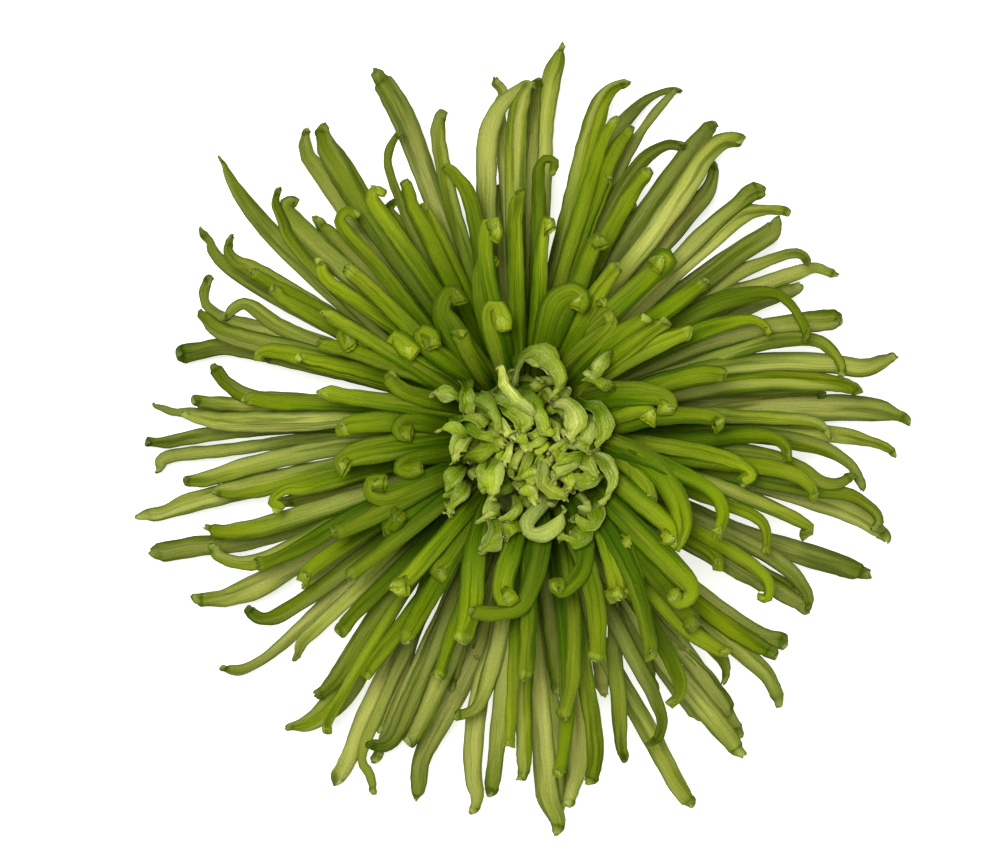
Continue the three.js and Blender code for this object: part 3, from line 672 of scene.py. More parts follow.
secondFlorets = [
    ("lip", [(28, 3.6, 3), (36, 3.3, 2.6), (44, 3, 2.5), (48.4, 2.4, 2), (50, 1.2, 1.5), (49.6, 0, 1.2)]),
    ("roll", [(28, 8, 3.5), (40, 9.5, 3.7), (48, 9.3, 3.5), (53, 8.8, 2.9), (55.4, 7.8, 1.8)]),
    ("lip", [(28, 10.5, 3.5), (40, 12.2, 3.9), (50, 12.2, 3.7), (56, 11.4, 3.5), (59.5, 12.4, 3),
             (61.6, 13.6, 1.3)]),
    ("lip", [(36, 14.6, 2.6), (43, 16.2, 2.8), (48.4, 16.2, 2.6), (51.2, 14.4, 2.3), (52.6, 12.2, 1.9),
             (52.8, 9.9, 1.7)]),
    ("roll", [(28, 15, 3), (38, 17.8, 3.1), (45, 19, 3.3), (49, 19.3, 3.6), (52, 19.6, 3.5)]),
    ("lip", [(28, 22.6, 3), (34, 26.6, 2.9), (40, 29.2, 2.1), (44.6, 30.6, 1.9), (46.6, 29.9, 1.6),
             (46.7, 28.8, 1.3)]),
    ("lip", [(24, 21.6, 3), (30, 26, 3.1), (36, 30.6, 3.3), (40.4, 33.4, 3.2), (41.7, 34.8, 2.1),
             (41.6, 36.6, 1.4)]),
    ("roll", [(22, 24.5, 3), (30, 32, 3.7), (35.6, 36.8, 3.6), (39.6, 37.8, 2.1), (43.5, 37.7, 1.6)]),
    ("lip", [(26, 30, 2.8), (31, 35, 2.9), (35.4, 38.8, 2.6), (37.4, 40.6, 3.2), (39.4, 41.2, 2.6)]),
    ("roll", [(14, 24.5, 3), (21, 33.5, 3.5), (26.6, 41.4, 3.9), (29.6, 46.2, 3.3), (32.6, 49.2, 2.9),
              (36, 49.6, 2.2)]),
    ("roll", [(13.5, 26.5, 3), (19, 35.4, 4.1), (24.6, 43.4, 4.2), (28.6, 49, 3.5), (31, 52, 2.7)]),
    ("roll", [(9, 28, 2.6), (14, 38, 3.2), (18.6, 45, 2.8), (21.4, 47.6, 2.2), (24, 48.7, 1.9),
              (26.2, 48.5, 1.7)]),
    ("lip", [(10, 32, 2.4), (15, 43, 2.4), (18.2, 49, 1.8), (21, 53.2, 1.5), (23.4, 56, 1.5),
             (25, 57.8, 1.2)]),
    ("lip", [(4.9, 27, 3), (8, 39, 3.5), (10.3, 48, 3.9), (12, 54, 3.7), (13.6, 57.2, 2.7),
             (15.6, 58.6, 1.8), (17.2, 58.7, 1.4)]),
    ("lip", [(-1.4, 28, 3.2), (-1.6, 42, 3.7), (-1.4, 52, 3.7), (-0.4, 56.4, 2.7), (0.8, 59, 1.6)]),
    ("lip", [(-6.2, 30, 3.2), (-6.4, 42, 3.4), (-6.2, 49.6, 3.6), (-4.8, 54, 3), (-2.2, 57, 2.1),
             (0.6, 59, 1.5)]),
    ("roll", [(-9.6, 30, 2.6), (-12, 38, 2.7), (-13.8, 46, 2.7), (-14.5, 51, 2.6), (-14, 53.6, 2.2)]),
    ("roll", [(-17.6, 32, 2), (-20.6, 38.6, 1.7), (-22.8, 45, 1.6), (-22.6, 48, 1.6), (-21.2, 50.6, 1.6)]),
    ("lip", [(-15, 27, 2.6), (-19, 33, 2.7), (-22.6, 37.6, 1.9), (-21.2, 39.2, 1.5)]),
    ("lip", [(-18.5, 26, 3.2), (-26, 37, 4.5), (-30.6, 44.6, 4.8), (-33, 48.6, 3.7), (-33.9, 51.7, 1.4)]),
    ("lip", [(-24, 22.6, 3), (-31, 28.6, 3.9), (-36.6, 33.6, 4.2), (-39.4, 37, 3.1), (-39.6, 39, 2.2),
             (-37.5, 39, 1.7)]),
    ("lip", [(-36, 29, 2), (-40.6, 36.6, 1.8), (-41.5, 39, 1.5), (-41.3, 41.3, 1.2)]),
    ("lip", [(-30, 18.6, 3), (-38, 23.6, 3.2), (-45, 27.6, 3.4), (-48.6, 29.6, 2.3), (-49.5, 31.6, 1.6),
             (-49.4, 33.2, 1.3)]),
    ("roll", [(-34, 15.6, 2.8), (-42, 17.6, 2.8), (-49.4, 19.6, 2), (-52.6, 21.4, 1.7), (-53.6, 23.8, 1.6),
              (-52.5, 26.6, 1.6)]),
    ("point", [(-34, 13.4, 3), (-44, 15.6, 3.5), (-50.6, 17.6, 3), (-53.4, 20, 1.9), (-54.5, 21.4, 1.1)]),
    ("roll", [(-34, 15.4, 2.8), (-41, 18.6, 3), (-44.6, 21.2, 2.8), (-46.8, 22.3, 2.3), (-49, 21, 2),
              (-49.6, 19.6, 1.6)]),
    ("roll", [(-24, 9.4, 2.8), (-33, 11.4, 3), (-43, 13.6, 2.6)]),
    ("lip", [(-36, 6, 2.4), (-44.6, 6.4, 2.7), (-47.6, 7.4, 2.7), (-49.8, 9, 2.3), (-51, 10.4, 2.3),
             (-51.6, 11.8, 1.6)]),
    ("roll", [(-36, 5.2, 2.6), (-46, 5.4, 2.6), (-51.4, 5.6, 2.3), (-54.6, 6, 2)]),
    ("lip", [(-26, 3.4, 3), (-36, 2.6, 3.7), (-44, 2.4, 3.9), (-50.6, 2.5, 3.5), (-54.4, 3.2, 2.5),
             (-57, 3.7, 1.5)]),
    ("roll", [(-30, -1.6, 2.8), (-40, -3.4, 3.2), (-48, -5.4, 3.3), (-53, -7, 2.7), (-56, -7.3, 2.1)]),
    ("lip", [(-28, -4.4, 3), (-36, -6, 3.4), (-44, -8, 4.1), (-48.6, -8.8, 3.2), (-51.5, -9, 2)]),
    ("point", [(-28, -10, 3), (-36, -12.6, 3.4), (-44, -15, 3.3), (-50, -15.8, 2.6), (-53.4, -15, 1.6)]),
    ("lip", [(-30, -13.4, 2.8), (-38, -18, 3), (-44.6, -20.8, 2.7), (-49, -20.7, 2.1), (-51.4, -19.4, 2.1),
             (-51.8, -17.8, 1.5)]),
    ("roll", [(-24, -17.4, 2.6), (-33, -24.4, 2.8), (-40, -29.2, 2.7), (-43.6, -30.3, 2.3), (-46, -29.2, 2)]),
    ("lip", [(-20, -17.4, 2.6), (-28, -25.6, 2.7), (-34.4, -31.6, 2.7), (-37.2, -34.4, 2.3),
             (-38, -37, 1.5)]),
    ("lip", [(-21, -26, 3), (-26, -35.6, 3.9), (-30, -42, 4.6), (-33.6, -46, 3.7), (-36.8, -47.9, 2.4),
             (-39.6, -48.3, 1.4)]),
    ("lip", [(-20, -22, 3), (-25.6, -31, 3.5), (-30.4, -38.6, 3.3), (-33.4, -42.2, 2.2),
             (-34.9, -42.8, 1.6)]),
    ("lip", [(-12, -27, 2.6), (-16.6, -38, 3), (-20, -46, 3.5), (-21.8, -50, 3.1), (-24, -51.5, 2.3),
             (-26, -50.9, 1.8)]),
    ("roll", [(-8.6, -26, 2.8), (-12.4, -36, 3.4), (-16, -44.6, 3.3), (-18, -48.6, 2.8), (-19, -50.4, 2.2)]),
    ("lip", [(-3.6, -30, 2.6), (-6, -40, 2.9), (-7.8, -44.8, 2.3), (-9.8, -46.1, 2), (-11.7, -46.4, 1.8)]),
    ("roll", [(-2.6, -30, 2.4), (-3.8, -42, 2.7), (-4.5, -50, 2.9), (-5.2, -56, 2.7), (-5.7, -58.9, 2.3)]),
    ("roll", [(0.3, -32, 2.4), (-0.2, -42, 2.9), (-0.2, -50, 2.8), (-0.2, -56.2, 2.2)]),
    ("lip", [(8.6, -30, 2.6), (10, -40, 2.9), (11.4, -48, 2.9), (11.7, -53.6, 2.8), (10.9, -57.7, 2)]),
    ("roll", [(14.4, -28, 2.8), (14.8, -36, 2.9), (15.5, -43, 3.1), (15.8, -49, 2.7), (16.3, -53.2, 1.8)]),
    ("lip", [(13.6, -28, 2.6), (18, -36.6, 2.7), (21.2, -42.6, 2.5), (22.8, -47, 2), (22.2, -50, 1.9),
             (20.6, -50.8, 1.6)]),
    ("lip", [(22, -26, 2.8), (28.4, -32.4, 3), (32.4, -36.4, 2.5), (33.5, -39, 1.7), (33, -40.6, 1.4)]),
    ("spoon", [(24, -25, 2.8), (32, -32.6, 3), (37.6, -37, 3.3), (40.9, -40.6, 2.6), (42.4, -44.8, 2.3)]),
    ("roll", [(22, -22, 2.8), (31, -29.6, 3), (37, -33.6, 3.1), (41, -35.8, 2.4)]),
    ("lip", [(28, 0.4, 2.8), (38, 0.4, 2.9), (46, -0.9, 3), (51, -2.4, 2.3), (54.2, -4.6, 1.8),
             (55.8, -7, 1.7), (56, -8.7, 1.2)]),
    ("lip", [(30, -2, 2.8), (39, -3, 3), (45.4, -5.2, 2.9), (49.6, -7.6, 2.3), (52.6, -7.6, 1.7),
             (54.6, -6.2, 1.5)]),
    ("lip", [(38, -7, 2.6), (48, -8.8, 2.7), (54, -9.6, 2.3), (57.6, -11.8, 1.9), (59.1, -14, 1.7),
             (57.8, -15.6, 1.4)]),
    ("roll", [(28, -6.6, 2.8), (36, -9.6, 3), (41.6, -12, 2.9), (45.6, -13.9, 2.5), (47.6, -15.4, 2),
              (45.8, -16.4, 1.7)]),
    ("lip", [(27, -13.2, 2.6), (35, -16.8, 2.8), (41.4, -20.2, 2.9), (45, -23.2, 2.5), (46.9, -26, 2),
             (47.3, -28.7, 1.5)]),
    ("lip", [(26, -15.4, 2.8), (34, -20, 3), (40.6, -24.4, 3.1), (44.6, -27, 2.7), (47, -28.7, 1.5)]),
    ("lip", [(20, -14, 2.8), (28, -18, 3), (36, -22.6, 2.9), (40, -25, 2.1)]),
]
thirdFlorets = [
    ("cap", [(28, 20.5, 3.4), (36, 23.4, 3.3), (41.4, 24, 2), (44.2, 22.2, 1.7), (45.6, 20.2, 1.6),
             (46.9, 17.6, 1.7), (46.6, 15.9, 1.4)]),
    ("cap", [(26, 16.2, 3), (33, 18.8, 2.7), (37.5, 19.6, 1.9), (39.8, 18.6, 1.5), (40.9, 17.2, 1.3)]),
    ("bulb", [(12, 30, 2.8), (16, 37.6, 2.9), (18.8, 42, 2.4), (20.4, 44, 2.3)]),
    ("bulb", [(7, 30, 2.6), (10.8, 42, 2.7), (13, 49.4, 2.2), (14.8, 52.2, 2)]),
    ("bulb", [(8, 30, 2.6), (12.4, 42, 2.9), (15.4, 48.4, 2.4), (17.4, 50.9, 2.1)]),
    ("bulb", [(6, 24, 2.6), (10, 34, 2.7), (12.6, 40, 2.3), (14, 42.6, 2.1)]),
    ("bulb", [(2.2, 28, 3), (2.4, 38, 2.9), (2.3, 44, 2.3), (3.2, 46.2, 1.9), (4.9, 45.8, 1.7),
              (4.2, 43.6, 1.3)]),
    ("bulb", [(-6.4, 26, 3), (-8.2, 36, 3), (-9.6, 40.8, 2.7), (-11.6, 43.6, 2.1), (-13, 44.9, 1.9)]),
    ("bulb", [(-13.4, 28, 2.8), (-16.4, 34, 2.9), (-18.8, 38.4, 2.5), (-19.7, 42.3, 2)]),
    ("cap", [(-16, 26, 2.8), (-21, 33, 2.9), (-25.2, 39, 2.7), (-25, 41, 1.8), (-23.2, 40.6, 1.5)]),
    ("cap", [(-12, 29, 2.6), (-15, 35, 2.6), (-17, 39, 1.6)]),
    ("bulb", [(-18, 20, 2.8), (-24.6, 28.4, 2.7), (-29.4, 33.6, 2.7), (-30.9, 36.2, 2.1),
              (-29.6, 37.7, 1.9), (-27.8, 36.8, 1.5)]),
    ("bulb", [(-20.5, 17.4, 2.8), (-28, 22.6, 2.8), (-33.2, 26.4, 2.4), (-33.8, 29, 2.1)]),
    ("bulb", [(-28, 17.6, 2.6), (-37, 22.6, 2.7), (-43, 25.8, 2.3), (-44.8, 27.3, 2.1)]),
    ("bulb", [(-27, 15.6, 2.6), (-35, 20, 2.6), (-40, 22.8, 2.2), (-41.6, 24.4, 2)]),
    ("cap", [(-26, 10, 3), (-34, 12.4, 3.7), (-41, 14.2, 2.9), (-44, 13.9, 2.1), (-44.4, 12.6, 1.5)]),
    ("bulb", [(-24, 10.2, 2.6), (-31, 12, 2.5), (-37.4, 13.2, 2.1)]),
    ("bulb", [(-26, 5.4, 3), (-34, 5.8, 3), (-41, 5.8, 2.9), (-46, 6.6, 2.4)]),
    ("bulb", [(-30, -6.6, 2.8), (-36.4, -8.4, 2.6), (-40, -8.8, 1.8), (-42, -10.6, 1.8), (-40.4, -12.2, 2)]),
    ("bulb", [(-28, -12.8, 2.8), (-36, -17.6, 2.7), (-42, -20.6, 2.3), (-44.4, -21.2, 2.1)]),
    ("cap", [(-24, -14, 2.8), (-31, -18.6, 2.7), (-35.6, -21.8, 2.6), (-37.2, -24.2, 2)]),
    ("bulb", [(-19, -20, 2.6), (-25, -26, 2.7), (-28.8, -29.8, 2.5), (-30.6, -32.2, 2.3)]),
    ("cap", [(-24, -32, 2.2), (-31.6, -45, 1.9), (-32.9, -47.6, 1.6), (-33, -49.4, 1.5)]),
    ("bulb", [(-10.5, -28, 2.4), (-12.8, -34.6, 2.5), (-14.4, -39.7, 2.5)]),
    ("cap", [(-16, -25, 2.6), (-22, -33.4, 2.7), (-25.6, -38, 2.5), (-26.8, -40, 2)]),
    ("cap", [(-1.4, -30, 2.2), (-2.1, -44, 2), (-2.5, -51.6, 1.7)]),
    ("cap", [(6.4, -32, 2.6), (7, -44, 3), (6.4, -52, 2.5), (5.3, -56.6, 2)]),
    ("bulb", [(8, -28, 2.6), (8, -39, 2.7), (7, -44.2, 2.4), (6.2, -46.2, 2)]),
    ("cap", [(17.6, -26, 2.8), (22, -33, 2.9), (25.2, -39, 2.9), (25.9, -42.6, 2.3), (24, -44.8, 2)]),
    ("cap", [(20, -24.6, 2.8), (26, -31, 3.3), (31, -34.6, 3.1), (34.2, -36, 2.2)]),
    ("cap", [(28, -0.6, 2.8), (36, 0.2, 2.9), (40.8, 0, 2.3), (43.3, -1.6, 1.9), (43.9, -4.2, 1.5)]),
    ("cap", [(30, -4, 2.8), (40, -5, 3), (45.6, -6.6, 2.6), (48, -9, 2), (47.6, -10.6, 1.5)]),
    ("bulb", [(20, -1, 2.8), (30, -2.6, 2.9), (35.6, -4.4, 2.7), (37.8, -6.4, 2.4), (35.6, -7.6, 2)]),
    ("cap", [(26, -8.4, 2.6), (34, -11.4, 2.5), (38.6, -13.4, 2.3), (40.2, -15.8, 1.8), (40.2, -19.6, 1.6)]),
    ("cap", [(20, -12.6, 2.8), (27, -16.6, 2.9), (31.6, -19.6, 2.5), (32.2, -22.3, 1.8)]),
    ("cap", [(28, -15.4, 2.6), (35, -19.4, 2.7), (39.4, -22.6, 2.4), (40.7, -25, 2), (40.3, -26.9, 2),
             (38.8, -26.5, 1.2)]),
]
upperFlorets = [
    ("cap", [(2.6, 12, 3), (3.6, 18, 4), (5, 22.4, 4.2), (7.6, 24, 3.4), (9.8, 22.6, 2.6),
             (9.4, 20.8, 2.2)], 2),
    ("cap", [(5.4, 9.4, 3.4), (9, 13.2, 4.8), (12.4, 16.4, 4.4), (14.4, 18.6, 2.8), (13.6, 20.8, 2)], 1.2),
    ("cap", [(5.6, 13, 3), (9, 18, 3), (11.4, 21.8, 2.6), (12.8, 22.8, 2.4), (13.4, 21.2, 2)]),
    ("bulb", [(9, 10.6, 3), (14, 15.4, 3.6), (18.4, 18.6, 3), (20.2, 19.8, 2.4)]),
    ("bulb", [(10, 9.6, 3), (16, 14, 3.4), (21, 17.8, 3), (23, 19, 2.4)]),
    ("bulb", [(9, 8.2, 3), (15, 12, 4), (21, 15.2, 4.2), (25.6, 17, 3), (27.2, 17.4, 2.4)]),
    ("bulb", [(14, 5, 3), (22, 8.6, 3.2), (29, 10.4, 3), (33, 10.4, 2.4)]),
    ("cap", [(8, 5.6, 3.4), (14, 7, 4.4), (20, 7.2, 4), (23.6, 6.4, 2.8), (24.2, 4.8, 2.2),
             (22.2, 4.8, 2)], 1.2),
    ("cap", [(10, 2.4, 3), (15, 3.6, 3.2), (19, 4.6, 2.8), (20.8, 4, 2.4), (20.4, 1.8, 2.2)]),
    ("cap", [(14, 1.6, 3), (22, 3.4, 3.2), (29, 3.6, 3), (32.4, 2.8, 2.4), (31.6, 1.2, 2.2)]),
    ("bulb", [(7, 16, 3), (11, 22.6, 3.2), (14, 26.6, 2.8), (15.4, 28, 2.4)]),
    ("cap", [(5, 17, 3), (8.6, 25, 3.2), (10.6, 30, 3), (11.8, 32.8, 2.6), (13.4, 31.4, 2)]),
    ("cap", [(10, 17, 3.2), (16, 22.4, 3.6), (21, 26.8, 3.4), (24, 29.4, 2.8), (22.8, 30.4, 2.2),
             (21.4, 28.2, 2)]),
    ("bulb", [(13, 13.6, 3), (20, 18.8, 3.2), (26, 23, 3), (29.4, 25.4, 2.4)]),
    ("cap", [(1.8, 15, 2.8), (2.4, 24, 2.8), (2.8, 32, 2.4), (3.6, 36, 2), (4.6, 34.2, 1.8)]),
    ("cap", [(-5, 8.6, 3.4), (-9, 13, 4.6), (-12.2, 17.6, 4.8), (-14, 21, 3.4), (-13, 23.8, 2.4),
             (-11, 24, 2), (-9.8, 22.4, 1.8)], 1.6),
    ("bulb", [(-7, 10, 3), (-9.4, 14, 2.8), (-11, 17.6, 2.8)], 2.6),
    ("cap", [(-3.4, 11, 3), (-5, 16, 3.2), (-6, 20, 2.8), (-5, 21.8, 2.4), (-3.6, 20, 2.4),
             (-3, 17.8, 2.2)], 1.2),
    ("cap", [(-4.6, 14, 3), (-6.8, 21, 3.2), (-7.4, 26.4, 2.8), (-6.4, 29, 2.6), (-4.2, 28.6, 2)]),
    ("cap", [(-3.6, 16, 3), (-6, 26, 3), (-6.6, 33, 2.8), (-5.6, 36.2, 2.4), (-4.6, 34.2, 2), (-5, 33, 1.8)]),
    ("bulb", [(-1.2, 14, 2.8), (-1.6, 28, 3), (-1.8, 36, 2.8), (-1, 40.4, 2.4)]),
    ("cap", [(-8, 9, 3), (-13, 12.6, 3.4), (-16.8, 15.6, 3), (-17.2, 17.4, 2.6), (-15.6, 16.8, 2.4),
             (-15.2, 14.8, 2)], 1),
    ("cap", [(-11, 8.6, 3), (-17, 11.6, 3.4), (-21.4, 14.4, 2.8), (-21.8, 16.6, 2.6), (-19.6, 15, 2.6),
             (-18.2, 13.8, 2.4)]),
    ("cap", [(-12, 7.4, 3), (-20, 12, 2.8), (-26.6, 16.2, 2.6), (-29.8, 17.8, 2.4), (-30, 15.8, 2.2),
             (-29.4, 14, 1.8)]),
    ("bulb", [(-9, 4.8, 3), (-14.6, 6, 3), (-19, 7.2, 2.8), (-21.8, 8.8, 2.6), (-22.2, 10.4, 2.4)]),
    ("bulb", [(-13, 4.4, 3), (-21, 5.6, 3.2), (-29, 6.6, 3), (-33.4, 7.4, 2.6)]),
    ("cap", [(-12, 1.6, 3), (-19, 2.8, 3.8), (-26, 2.4, 3.4), (-30, 1.8, 2.6), (-30.2, 0.2, 2)]),
    ("cap", [(-10.6, 0.8, 2.8), (-16, 2.2, 3), (-20, 2.6, 2.8), (-21, 0.8, 2.4), (-18.8, 0.4, 2.4)]),
    ("bulb", [(-13, 12, 2.8), (-20, 19, 3), (-26, 24.8, 2.8), (-29.2, 27.6, 2.4)]),
    ("bulb", [(-13, 8.4, 2.8), (-22, 14, 2.8), (-29, 18.2, 2.6), (-32.8, 20.4, 2.2)]),
    ("bulb", [(-14, 9, 2.8), (-22, 12, 2.8), (-29, 14.4, 2.6), (-33.8, 15.4, 2.2)]),
    ("cap", [(-9, -4.6, 3.4), (-15, -7, 4.2), (-21, -9.4, 4), (-24.6, -10, 3.2), (-25.8, -8, 2.6),
             (-23.2, -7.2, 2.4)], 1.4),
    ("cap", [(-9, -2, 3), (-15, -3, 3.2), (-19.6, -4, 2.8), (-20.8, -5.4, 2.4), (-18.6, -6, 2.2),
             (-17, -5.4, 2)]),
    ("cap", [(-13, -0.6, 3.4), (-20, -1.4, 4.4), (-27, -2.6, 4.4), (-30.6, -4, 2.8), (-29.4, -6, 2.4)]),
    ("cap", [(-12, -8, 3), (-17, -11.6, 3.4), (-21, -14.8, 3), (-23, -15.6, 2.4), (-22, -13.6, 2.4),
             (-21, -12, 2)]),
    ("bulb", [(-14, -7, 3), (-22, -11.4, 3.2), (-28.6, -14.8, 3), (-31, -16, 2.4)]),
    ("cap", [(-8.4, -12, 2.8), (-10.6, -16.6, 3), (-12.8, -20.4, 2.8), (-14.6, -22, 2.8), (-13, -23.4, 2.4)]),
    ("cap", [(-10, -12.6, 2.8), (-15, -18.4, 3), (-19.4, -23.4, 3), (-21.4, -25.2, 2.6),
             (-19.2, -25.2, 2.4)]),
    ("bulb", [(-13, -10.4, 2.8), (-20, -16, 3), (-26, -20.8, 2.8), (-28.8, -22.8, 2.4)]),
    ("bulb", [(-9.6, -15.6, 3), (-14.4, -24, 3.2), (-18.4, -31, 3), (-19.6, -33.2, 2.4)]),
    ("bulb", [(-6.6, -12, 3), (-8.4, -20, 4), (-9, -28, 4), (-10.4, -33.4, 2.8)]),
    ("bulb", [(2.8, -15, 3.2), (2.4, -20, 3.4), (0.8, -25.4, 3.2), (-1, -28.4, 2.8), (-4.6, -29.4, 2.6),
              (-8.8, -29.2, 2.4)], 2),
    ("cap", [(-1, -14, 3), (-2.4, -19.6, 3.6), (-3.6, -24, 3.6), (-3.4, -27, 2.8), (-1.6, -26, 2.4)], 1),
    ("bulb", [(0.4, -13, 2.8), (0.6, -24, 3), (0.4, -34, 3), (0, -39.4, 2.6)]),
    ("cap", [(8.6, -12, 3), (10, -18, 3), (9.6, -22, 2.8), (7.4, -24.8, 2.6), (5, -25.2, 2.4),
             (4.4, -23.4, 2)], 2),
    ("cap", [(10.6, -11, 3), (13.4, -17, 3.2), (15, -23, 3.2), (15.6, -27, 3), (14.2, -25.4, 2.2)]),
    ("cap", [(12, -11, 3), (16, -17.6, 3.2), (18.4, -23, 3), (18.2, -26.4, 2.6), (17, -24.8, 2)]),
    ("cap", [(10.6, -8, 3), (14.6, -11, 3.6), (17.6, -14.4, 3.2), (18.8, -17, 2.8), (16.8, -18, 2.6),
             (15.4, -17, 2.2)]),
    ("cap", [(14, -11, 3.2), (20, -17, 4), (25.6, -22.6, 4), (27.8, -25.6, 3), (26, -27.6, 2.4),
             (23.8, -26, 2)], 1),
    ("cap", [(15, -14, 3), (21, -22, 3.4), (26, -28, 3.2), (28.6, -32, 2.6), (27.2, -30.6, 2)]),
    ("cap", [(13, -14, 3), (17.4, -22, 3.2), (20, -30, 3.2), (21.2, -37, 2.4)]),
    ("bulb", [(7, -14, 3), (10.4, -22, 3.4), (12, -30, 3.4), (12, -36.6, 2.6)]),
    ("cap", [(13, -0.6, 3), (18, -2.6, 4), (22.4, -6, 4.2), (25.4, -11, 4), (26, -15.4, 3.4),
             (24.6, -18.8, 2.2)], 2),
    ("cap", [(12, -2.6, 3), (16.6, -4.4, 3.4), (19.6, -7.4, 3), (20.8, -10, 2.6), (20.2, -11.6, 2.4)]),
    ("cap", [(11, -0.4, 2.8), (16, -1.8, 3), (18.8, -3.6, 2.6), (18.6, -5.4, 2.4), (16.6, -5.8, 2)]),
    ("cap", [(13.4, -6, 3), (19, -10.6, 3.4), (23.4, -14.4, 3), (24.2, -16.8, 2.4), (22.6, -16.8, 2)]),
    ("cap", [(14, -1.6, 3), (20, -3.4, 3), (27, -6.6, 2.8), (31.6, -9.6, 2.6), (32.9, -12.6, 2.4),
             (32.4, -15.2, 2.2), (31.2, -16.6, 1.8)], 1),
]

# A layer's rise gives its height at each distance from the axis, and pale how pale its florets may be.
# A folded end climbs by lift for each mm, swells by swell, and lies closer to the rest by closer.
tracedLayers = {
    "ray_florets_lowest": {
        "florets": lowestFlorets, "skin": rayMaterial,
        "pale": (0.35, 1.0), "lift": 0, "swell": 0, "closer": 0,
        "rise": [(9, 16.6), (20, 17.4), (30, 16), (40, 12.8), (50, 8.4), (58, 4.4), (66, 1.4)]},
    "ray_florets_second": {
        "florets": secondFlorets, "skin": rayMaterial,
        "pale": (0.0, 0.65), "lift": 0, "swell": 0, "closer": 0,
        "rise": [(9, 18.6), (20, 20.8), (30, 20.6), (40, 18.2), (50, 14), (58, 9.6), (66, 6)]},
    "ray_florets_third": {
        "florets": thirdFlorets, "skin": upperMaterial,
        "pale": (0.0, 0.7), "lift": 0.3, "swell": 0, "closer": 0,
        "rise": [(9, 20.2), (20, 23.8), (30, 24.8), (40, 23), (50, 19), (58, 14), (66, 9)]},
    "ray_florets_upper": {
        "florets": upperFlorets, "skin": upperMaterial,
        "pale": (0.0, 0.6), "lift": 0.75, "swell": 0.4, "closer": 0.3,
        "rise": [(9, 24.5), (12, 28), (16, 31), (22, 33), (28, 33), (34, 31), (40, 27.5), (50, 22)]},
}
longFloret = {
    "rootRadius": 9,
    "rootShare": 0.62,        # of its width at the first point
    "thickness": 0.78,
    "beside": 2.2,            # how much higher a floret may lie than one beside it
    "besideFrom": (9, 20),    # distances from the axis between which this sets in
    "aboveFrom": (8, 14),     # and the same where a floret lies over its neighbours
    "liftUpTo": 4,            # length of a folded end that climbs
    "swellOver": (-1, 2),     # lengths past the fold between which a swollen end sets in
    "swellGone": (6.5, 2.5),  # and between which it goes again
    "channel": (-0.2, 0.7),
    "roll": (-34, 34),
    "cup": (-0.22, 0.26),
}


def variedTip(tip, number):  # no two curls are quite alike
    return dict(
        tip,
        radius=tip["radius"] * lerp(0.8, 1.2, draw(number + 0.07)),
        turn=tip["turn"] * lerp(0.84, 1.14, draw(number + 0.13)),
        lean=tip["lean"] + lerp(-22, 22, draw(number + 0.19)),
        mouth=tip["mouth"] * lerp(0.75, 1.15, draw(number + 0.29)),
    )


# A long floret: it keeps to the rise of its layer, and runs on in to its root
def tracedFloret(layer, i, ending, listed, above=0):
    form = longFloret
    rows = np.array(listed, dtype=float)
    number = rows[-1, 0] * 1.7 + rows[-1, 1] * 2.3  # its own, from where it ends
    tip = variedTip(tips[ending], number)
    # the two parts of a folded end lie close together
    onward = unit(rows[1, :2] - rows[0, :2])
    far = np.hypot(rows[:, 0], rows[:, 1]).argmax()
    outward = unit(rows[far, :2] - rows[max(far - 2, 0), :2])
    folding = rows[far + 1:, :2] - rows[far, :2]
    rows[far + 1:, :2] -= layer["closer"] * (folding - (folding @ outward)[:, None] * outward)
    # its root lies partly towards the axis, and partly straight on
    inner = math.hypot(*rows[0, :2])
    straight = unit(rows[0, :2] - onward * (inner - form["rootRadius"]))
    root = form["rootRadius"] * unit(rows[0, :2] / inner + straight)
    rows = np.concatenate([[[*root, rows[0, 2] * form["rootShare"]]], rows])
    # it lies over one neighbour and under the other, and its folded end lies over the rest of it
    radius = np.hypot(rows[:, 0], rows[:, 1])
    beside = form["beside"] * ((i * 0.618) % 1 - 0.5)
    height = np.interp(radius, *zip(*layer["rise"])) + beside * smooth(*form["besideFrom"], radius)
    passed = np.concatenate([[0], np.cumsum(np.hypot(*np.diff(rows[:, :2], axis=0).T))])
    folded = passed - passed[radius.argmax()]
    climb = layer["lift"] * np.clip(folded, 0, form["liftUpTo"])
    height = height + climb + above * smooth(*form["aboveFrom"], radius)
    rows[:, 2] *= 1 + layer["swell"] * smooth(*form["swellOver"], folded) * smooth(*form["swellGone"], folded)
    points = np.stack([*fromView(rows[:, 0], rows[:, 1], height), height, rows[:, 2]], axis=-1)
    return {
        "line": lineThrough(points, curlLine(tip)[1].max()),
        "tip": tip, "number": number, "thickness": form["thickness"],
        "channel": lerp(*form["channel"], draw(number + 0.11)),
        "roll": lerp(*form["roll"], draw(number + 0.33)),
        "tone": draw(number + 0.55),
        "pale": lerp(*layer["pale"], draw(number + 0.66)),
        "cup": lerp(*form["cup"], draw(number + 0.88)),
    }


for name, layer in tracedLayers.items():
    traced = [tracedFloret(layer, i, *row) for i, row in enumerate(layer["florets"])]
    settle(bladesObject(name, traced, layer["skin"], floretMesh), "ray_florets")
print("long florets made:", sum(len(layer["florets"]) for layer in tracedLayers.values()))


